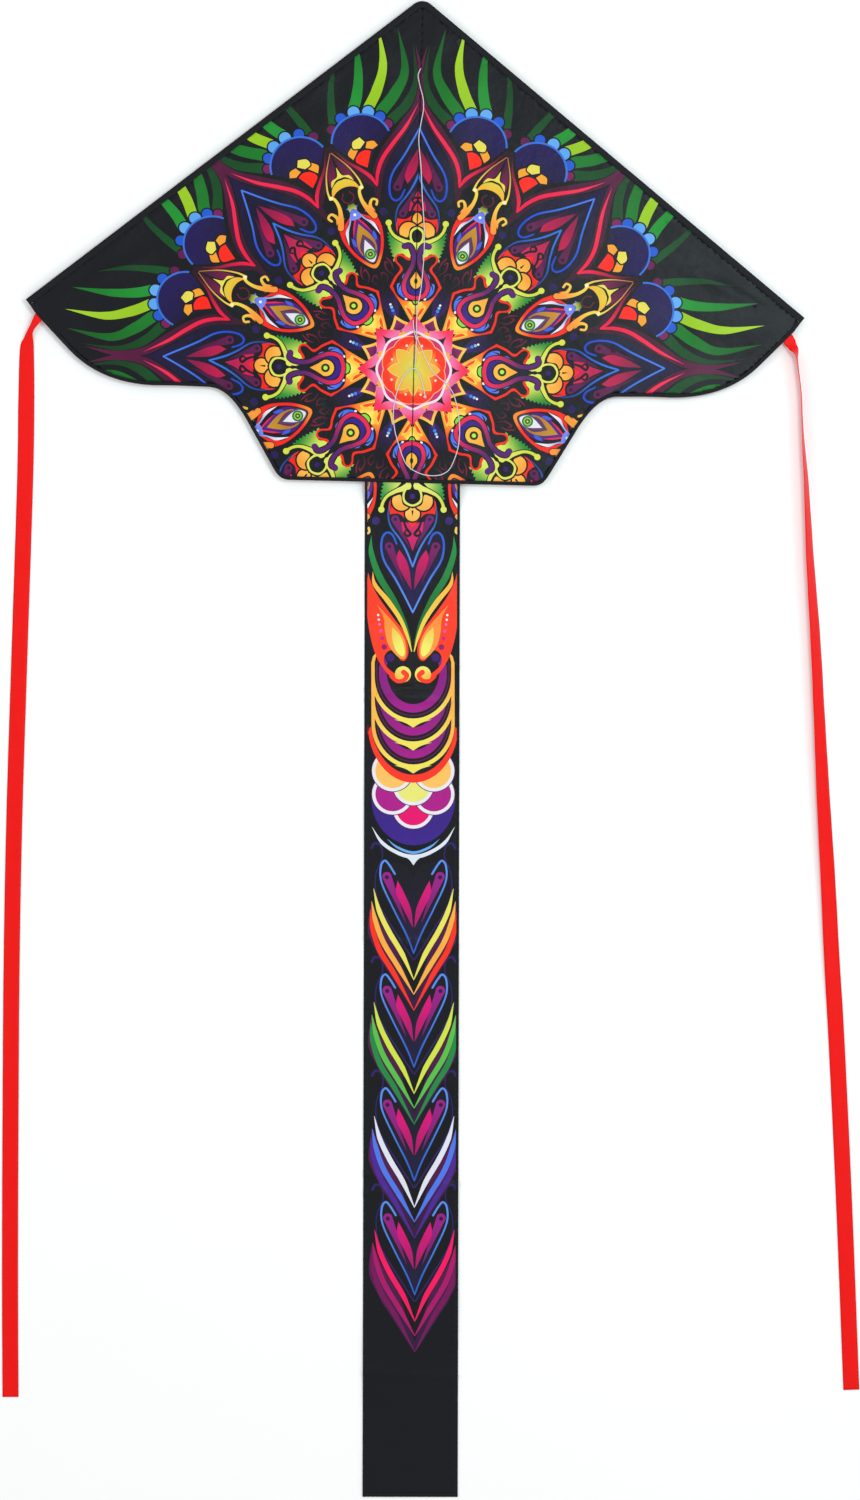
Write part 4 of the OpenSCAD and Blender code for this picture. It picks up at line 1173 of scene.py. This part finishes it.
for k in range(4):
    o = HEART_PITCH * k
    tail_art.paint(brush([(o + 548, 63), (o + 541, 58), (o + 545, 49), (o + 563, 47), (o + 590, 57),
                          (o + 630, 53),
                          (o + 680, 24), (o + 716, 1)], [4, 4, 2.4, 1.8, 1.8, 2, 2.4, 2]), "#2a1a64",
                   both=True)
    tail_art.paint(outline([(o + 568, 34), (o + 572, 50), (o + 600, 49), (o + 640, 31), (o + 708, 0),
                            (o + 708, 0),
                            (o + 620, -2), (o + 580, 6)]), "#100f1c", "#1b163a", (o + 580, 20), (o + 700, 0),
                   both=True)
for k, inks in enumerate(CHEVRONS):
    o = HEART_PITCH * k
    tail_art.paint(brush([(o + 630, 63), (o + 672, 57), (o + 712, 36), (o + 784, 2)], [2, 24, 29, 8]),
                   "#58104a",
                   "#30103c", (o + 620, 60), (o + 800, 0), both=True)
    for stripe, colour in list(zip(STRIPES, inks.split()))[::-1]:
        tail_art.paint(brush([(o + d, w) for d, w in stripe], [0.5, 7, 8, 7.5, 1]), colour, both=True)
    tail_art.paint(brush([(o + 587, 28), (o + 574, 36), (o + 567, 43), (o + 576, 49), (o + 600, 48),
                          (o + 640, 30),
                          (o + 678, 11), (o + 706, 0)], [3, 3, 3, 3, 2.6, 2.4, 2.6, 2]), "#5a90ec", "#2a62cc",
                   (o + 570, 40), (o + 700, 0), both=True)
    tail_art.paint(drop((o + 591, 40), 7, (o + 662, 11)), "#9a1886", "#701a66", (o + 590, 40), (o + 660, 10),
                   both=True)
    tail_art.paint(disc(o + 592, 40, 3.2), "#2c1240", both=True)
    tail_art.paint(outline([(o + 597, 24), (o + 597, 24), (o + 616, 26), (o + 642, 14), (o + 668, 1),
                            (o + 668, 1),
                            (o + 640, 4), (o + 616, 14)]), "#dc0478", "#b00a68", (o + 600, 24), (o + 665, 2),
                   both=True)
print(len(tail_art.items), "tail shapes")

# %% The tail's cloth
TAIL_LEAN, TAIL_HALF, TAIL_HEM, TAIL_LENGTH, FOOT = np.radians(1.24), 71.5, 4.0, 1523.0, -172.0


def on_floor(w, d):
    """Across and down the tail to the sail's own frame: turned by the tail's lean about its root."""
    c, s = np.cos(TAIL_LEAN), np.sin(TAIL_LEAN)
    return np.stack([2 + w * c + d * s, FOOT + w * s - d * c], -1)


def tail_height(w, d):
    """Underside of the tail: it leaves the sail's hem 9.9 mm up and settles on the floor in 46 mm, with
    slow ripples across it and two faint creases where it was folded for the packet."""
    settle = 9.9 * (1 - smoothstep((d - 2) / 46)) - 0.45 * (1 - smoothstep((d + 1) / 6))
    ripple = 0.55 + 0.5 * np.sin(d / 61 + w / 90) + 0.35 * np.sin(d / 27 - w / 40 + 1.3) \
        + 0.5 * np.sin(d / 140 + 0.5) * (w / 70)
    crease = sum(1.3 * np.exp(-((d - at - w * slant) / 3.5) ** 2) for at, slant in
                 ((1046, 0.12), (1060, -0.10), (322, 0.15), (300, -0.35), (690, 0.08), (1340, 0.05)))
    lying = smoothstep((d - 30) / 60)
    return settle + lying * (np.maximum(ripple, 0) * 0.9 + crease)


def as_tail(p):
    """Artwork distance down and across, to the tail's own across and down, with the print's slow drift."""
    return np.stack([p[:, 1] + 0.005 * p[:, 0], p[:, 0]], 1)


TAIL_TOP = np.array([186, 0])       # where the tail starts, from the rosette's middle
carried_on = [(p - TAIL_TOP, k0, k1, a - TAIL_TOP, b - TAIL_TOP)
              for art, turn_by in ((hearts, 0), (crowns, 22.5), (crowns, -22.5))
              for p, k0, k1, a, b in art.turned(turn_by)]
cloth_half = TAIL_HALF - TAIL_HEM + TUCK
tail_edge = np.array([(-cloth_half, -8), (cloth_half, -8), (cloth_half, TAIL_LENGTH - 5),
                      (-cloth_half, TAIL_LENGTH - 5)], float)
dark_ground = np.array(light("#070a12"))
t_flat, t_tri, t_colours = inked_sheet(tail_edge, carried_on + tail_art.items, as_tail, 5.0, dark_ground)
z = tail_height(t_flat[:, 0], t_flat[:, 1]) + 0.55
tail_top = to_metres(on_floor(t_flat[:, 0], t_flat[:, 1]), z)
tail = as_piece("tail_cloth", tail_top, t_tri[:, ::-1], PRINT_FRONT)
ink(tail, t_colours[:, ::-1])
thickened(tail, 0.35, lining=PRINT_BACK)
sewn_on(tail, "tail", "tail_panel")
print("tail cut into", len(t_tri), "triangles")

# %% Hems of the tail
HEM_LOWEST = 0.03


def tail_hem(name, path, inner, node, width=4.0):
    """A rolled hem along a path of across and down: three turns of cloth, rounded at the outer edge."""
    line = resample(np.array(path, float), 4.0)
    profile = np.array([(0, 0.45), (0.2, 0.75), (0.9, 0.95), (width - 0.5, 0.95), (width, 0.7), (width, 0.3),
                        (width - 0.5, 0.08), (0.9, 0.05), (0.2, 0.15)])
    n = heading_and_right(line)[1] * inner
    wd = line[:, None] + n[:, None] * profile[None, :, :1]
    s = arc_length(line)
    z = tail_height(wd[..., 0], wd[..., 1]) + profile[None, :, 1] + 0.05 * np.sin(s / 2.3)[:, None]
    points = np.concatenate([on_floor(wd[..., 0], wd[..., 1]), np.maximum(z, HEM_LOWEST)[..., None]], 2)
    sewn_on(carried_loop(name, points, s, profile[:, 0], TAPE, 60), "tail", node)


tail_hem("tail_left_edge", [(-TAIL_HALF, -7), (-TAIL_HALF, TAIL_LENGTH)], 1, "tail_left_hem")
tail_hem("tail_right_edge", [(TAIL_HALF, -7), (TAIL_HALF, TAIL_LENGTH)], -1, "tail_right_hem")
tail_hem("tail_end_edge", [(-TAIL_HALF, TAIL_LENGTH), (TAIL_HALF, TAIL_LENGTH)], 1, "tail_end_hem", 6.0)
tail_hem("tail_top_edge", [(TAIL_HALF, -12), (-TAIL_HALF, -12)], 1, "tail_top_hem", 5.0)

# %% [markdown]
# ## The bridle, the tow line and their knots
# A light braided line is tied to the spine near the nose and near the foot. Both legs meet in a tow knot,
# and from it a short tow line lies in a loop on the sail, ending in its own knot. Each is a tube on a
# smooth line through the places where it lies. A knot is a tube on a closed three-lobed curve, which
# passes over and under itself as an overhand knot does when it is pulled small.

# %% Line finish and knots
line_finish = Finish("white_braided_line", 0.62, Specular_IOR_Level=0.3, Sheen_Weight=0.1)
line_place = line_finish.place(True)
braid = line_finish.weave(line_place, 0.0011)
line_finish.tint(line_finish.spread(braid, 0.0, 1.0), "#e0dae0", "#b0a8b2")
line_finish.link(line_finish.spread(line_finish.noise(line_place, 400.0), 0.5, 0.75),
                 line_finish.shader.inputs["Roughness"])
line_finish.link(line_finish.relief(braid, 0.6, 0.0002), line_finish.shader.inputs["Normal"])
LINE = line_finish.material
LINE_RADIUS = 0.7 * MM


def lying_line(points, step=1.6):
    return resample(spline(np.array(points, float), 12), step) * MM


def tied(piece, *nodes):
    """A piece of line on the spine: it moves with the spine, has a mesh of its own, and stands in for the
    given CAD nodes.
    """
    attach(piece, "spine")
    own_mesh(piece)
    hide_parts(*nodes)
    return piece


def overhand(name, centre, size, node, turn=0.0):
    """Three-lobed curve: x = sin t + 2 sin 2t, y = cos t - 2 cos 2t, height = -sin 3t, scaled to size."""
    t = np.linspace(0, 2 * np.pi, 55)
    x, y, z = np.sin(t) + 2 * np.sin(2 * t), np.cos(t) - 2 * np.cos(2 * t), -np.sin(3 * t)
    c, s = np.cos(turn), np.sin(turn)
    k = (size - 0.7) / 3
    curve = np.stack([(x * c - y * s) * k, (x * s + y * c) * k * 1.15, z * 0.62], 1) + centre
    return tied(tube(name, curve * MM, LINE_RADIUS * 0.95, LINE, around=9), node)


UPPER_LEG = [(0, 450, 10.5), (-0.8, 448.4, 13.2), (-2.6, 444, 13.2), (-4, 438, 12.7), (-1, 424, 12.6),
             (4.2, 405, 12.6), (5.2, 388, 12.6), (1.6, 365, 12.6), (-0.7, 345, 12.6), (1, 324, 12.6),
             (3.5, 303, 12.6), (6.7, 256, 12.6), (9.6, 224, 12.6), (11.3, 195, 12.6), (11, 165, 12.6),
             (9.6, 140, 12.6), (7.4, 115, 12.6), (3.4, 90, 12.6), (2.6, 66, 12.8), (3.3, 47, 13)]
LOWER_LEG = [(3.4, 43, 13), (2.9, 30, 12.6), (2.6, 17, 12.7), (2, 8.5, 13), (1.2, 5, 12.8), (0.8, 3.4, 10.5)]
TOW_LINE = [(4.8, 43, 13), (10.5, 31, 12.6), (18, 14, 12.5), (27.5, -3, 12.5), (38, -13.5, 12.5),
            (49, -22, 12.5),
            (58, -33, 12.5), (64, -48, 12.5), (69, -70, 12.5), (71, -92, 12.5), (70, -112, 12.5),
            (66, -130, 12.5), (58, -149, 12.5), (48, -157.5, 12.5), (36, -160.5, 12.5), (22, -160, 12.5),
            (10, -156.5, 12.5), (-2, -150, 12.6), (-11, -139, 12.5), (-19, -118, 12.5), (-26, -95, 12.5),
            (-29, -71, 12.5), (-27, -48, 12.5), (-21, -26, 12.5), (-13.5, -11, 12.6), (-7, -3, 13.2),
            (0.6, -0.4, 13.8), (6, -5, 13.2), (11, -16, 12.5), (15.4, -29, 12.5), (17.6, -41, 12.6)]
KNOT_TAIL = [(1.9, 45.4, 14.3), (-0.2, 53, 15), (-1.8, 63, 13.6), (-2.6, 72, 12.6)]

# %% Bridle and tow line
bridle_path = lying_line(UPPER_LEG + [(3.4, 45, 13.2)] + LOWER_LEG)
bridle = tied(tube("bridle_line", bridle_path, LINE_RADIUS, LINE, 10), "bridle_upper_leg", "bridle_lower_leg")
tow_path = lying_line(TOW_LINE)
tow_line = tied(tube("tow_line", tow_path, LINE_RADIUS, LINE, 10), "tow_leader")
tow_knot = overhand("tow_knot_turns", (3.4, 45, 13.6), 2.9, "tow_knot")
knot_end = tied(tube("tow_knot_end", lying_line(KNOT_TAIL), LINE_RADIUS, LINE, 10), "tow_knot_tail")
end_knot = overhand("tow_line_end_knot", (17.8, -42.6, 13.3), 2.6, "leader_end_knot", 0.6)

# %% [markdown]
# ## Stitching
# Every sleeve, hem and pocket is held by a row of black machine stitches about three millimetres apart.
# One stitch is a small arched capsule of thirty faces. A row repeats it along a line: each copy is turned
# to the line's heading and set at the height of the cloth there.

# %% One stitch, repeated along a line
STITCH_PITCH, STITCH_LENGTH = 3.2, 2.4


def stitch_row(name, line, heights, facing=1.0):
    """Copies of one capsule: point = place + along * heading + across * sideways + up, with the capsule's
    middle raised by 0.12 mm so that both ends dive into the cloth."""
    rows = resample(np.column_stack([line, heights]), STITCH_PITCH)
    t, side = heading_and_right(rows[:, :2])
    along = np.array([-0.5, -0.38, -0.16, 0.16, 0.38, 0.5]) * STITCH_LENGTH
    girth = np.array([0, 0.19, 0.26, 0.26, 0.19, 0])
    a = np.linspace(0, 2 * np.pi, 6, endpoint=False)
    cross, up = girth[:, None] * np.cos(a), girth[:, None] * 0.8 * np.sin(a)
    up = up + 0.12 * np.cos(np.pi * along / STITCH_LENGTH)[:, None]
    flat_place = rows[:, None, None, :2] + along[None, :, None, None] * t[:, None, None] \
        + cross[None, :, :, None] * side[:, None, None]
    z = rows[:, None, None, 2] + facing * up[None]
    points = np.concatenate([flat_place, z[..., None]], 3).reshape(-1, 3) * MM
    one = grid_faces(6, 6, True)
    faces = (one[None] + 36 * np.arange(len(rows))[:, None, None]).reshape(-1, 4)
    return close_poles(as_piece(name, points, faces, THREAD))


lead_stitch = inset(lead_line[:-3], 8.8)
trail_stitch = inset(trail_line[4:], 4.5)
for side, wing in ((1, "right_wing"), (-1, "left_wing")):
    flip = np.array([side, 1])
    for band, row, height in (("sleeve", lead_stitch, 11.93), ("hem", trail_stitch, 11.97)):
        stitches = stitch_row(f"{wing}_{band}_stitches", row * flip, np.full(len(row), height))
        folds_at_spine(stitches)
for k, x in enumerate((-7.9, 7.9)):
    line = np.stack([np.full(200, x), np.linspace(-136, 513, 200)], 1)
    piece = stitch_row(f"pocket_stitches_{k}", line, np.full(200, 9.95), facing=-1.0)
    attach(piece, "spine")
for name, w, d, above, facing in (("left", (-68.6, -68.6), (-5, 1520), 0.98, 1.0),
                                  ("right", (68.6, 68.6), (-5, 1520), 0.98, 1.0),
                                  ("end", (-67, 67), (1518.4, 1518.4), 0.98, 1.0),
                                  ("top", (-12, 12), (-9.4, -9.4), 0.02, -1.0)):
    w, d = np.linspace(*w, 400), np.linspace(*d, 400)
    piece = stitch_row(f"tail_{name}_stitches", on_floor(w, d), tail_height(w, d) + above, facing=facing)
    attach(piece, "tail")
print("stitches sewn")

# %% [markdown]
# ## The frame's rods, caps and fittings
# The rods are pulled fibreglass: long glass threads in a dark resin, so their grain runs lengthways and
# they are fairly glossy. The end caps are soft vinyl dipped over the rod ends, and the fittings that hold
# the cross rod are moulded nylon with a fine pebbled skin.

# %% Rod, cap and fitting finishes
def pulled_rod(name, along):
    """Glass threads: a noise squeezed a hundredfold along the rod, for the colour and the roughness."""
    f = Finish(name, 0.35, Coat_Weight=0.25, Coat_Roughness=0.2)
    scale = [700.0, 700.0, 700.0]
    scale[along] = 6.0
    threads = f.noise(f.place(scale=scale), 1.0, 4.0)
    f.tint(threads, "#15161a", "#34363d")
    f.link(f.spread(threads, 0.25, 0.5), f.shader.inputs["Roughness"])
    f.link(f.relief(threads, 0.2, 0.0002), f.shader.inputs["Normal"])
    return f.material


def moulded(name, colour, dark, rough, pebble):
    """Moulded plastic: a pebbled relief and a slow wander of the colour and the gloss."""
    f = Finish(name, rough)
    where = f.place()
    f.tint(f.noise(where, 180.0), colour, dark)
    f.link(f.spread(f.noise(where, 90.0), rough - 0.1, rough + 0.1), f.shader.inputs["Roughness"])
    f.link(f.relief(f.noise(where, pebble, 2.0), 0.25, 0.0002), f.shader.inputs["Normal"])
    return f.material


ROD_UP, ROD_ACROSS = pulled_rod("fibreglass_lengthways", 1), pulled_rod("fibreglass_across", 0)
VINYL = moulded("black_vinyl_cap", "#17181b", "#26272b", 0.42, 900.0)
NYLON = moulded("black_nylon_fitting", "#1a1b1f", "#2a2b30", 0.5, 1800.0)
for name, material in (("spine_rod", ROD_UP), ("left_leading_rod", ROD_UP), ("right_leading_rod", ROD_UP),
                       ("spreader_rod", ROD_ACROSS), ("spine_nose_cap", VINYL), ("spine_tail_cap", VINYL),
                       ("left_nose_cap", VINYL), ("right_nose_cap", VINYL), ("left_tip_cap", VINYL),
                       ("right_tip_cap", VINYL), ("left_spreader_fitting", NYLON),
                       ("right_spreader_fitting", NYLON), ("left_fitting_stops", NYLON),
                       ("right_fitting_stops", NYLON), ("upper_bridle_tie", LINE),
                       ("lower_bridle_tie", LINE)):
    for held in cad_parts[name].material_slots:
        held.material = material
print("rods, caps and fittings finished")

# %% [markdown]
# ## Floor and light
# The kite lies on a plain pale floor in an even white room. Two soft lamps stand well to its sides, so
# that they don't mirror in the cloth, and a small one hangs over the right wing and hazes that half.

# %% Floor and light
def lamp(name, place, aim, size, power, colour=(1, 1, 1)):
    data = bpy.data.lights.new(name, "AREA")
    data.shape, data.size, data.energy, data.color = "DISK", size, power, colour
    o = bpy.data.objects.new(name, data)
    o.location = place
    o.rotation_euler = (mathutils.Vector(aim) - mathutils.Vector(place)).to_track_quat("-Z", "Y").to_euler()
    bpy.context.scene.collection.objects.link(o)


floor_finish = Finish("pale_floor", 0.9)
mottle = floor_finish.spread(floor_finish.noise(floor_finish.place(), 3.0), 0.93, 0.95)
grey = floor_finish.node("ShaderNodeCombineColor", {"Red": mottle, "Green": mottle, "Blue": mottle})
floor_finish.link(grey.outputs["Color"], floor_finish.shader.inputs["Base Color"])
FLOOR_TOP = -0.0006     # a hair under the lowest cloth
xy = np.stack(np.meshgrid(np.linspace(-9, 9, 7), np.linspace(-9, 9, 7)), -1).reshape(-1, 2)
floor = as_piece("floor", np.column_stack([xy, np.full(len(xy), FLOOR_TOP)]), grid_faces(7, 7)[:, ::-1],
                 floor_finish.material)
world = bpy.data.worlds.new("soft_room")
world.use_nodes = True
world.node_tree.nodes["Background"].inputs["Color"].default_value = (1, 1, 1, 1)
world.node_tree.nodes["Background"].inputs["Strength"].default_value = 0.8
bpy.context.scene.world = world
lamp("left_lamp", (-3.0, -0.4, 3.0), (-0.2, -0.6, 0), 1.6, 22)
lamp("right_lamp", (3.0, -1.4, 3.2), (0.2, -0.8, 0), 1.6, 22)
lamp("wing_lamp", (0.82, 0.36, 2.4), (0.45, 0.1, 0), 0.5, 18, (0.8, 0.98, 1.0))
bpy.context.scene.view_settings.view_transform = "Standard"
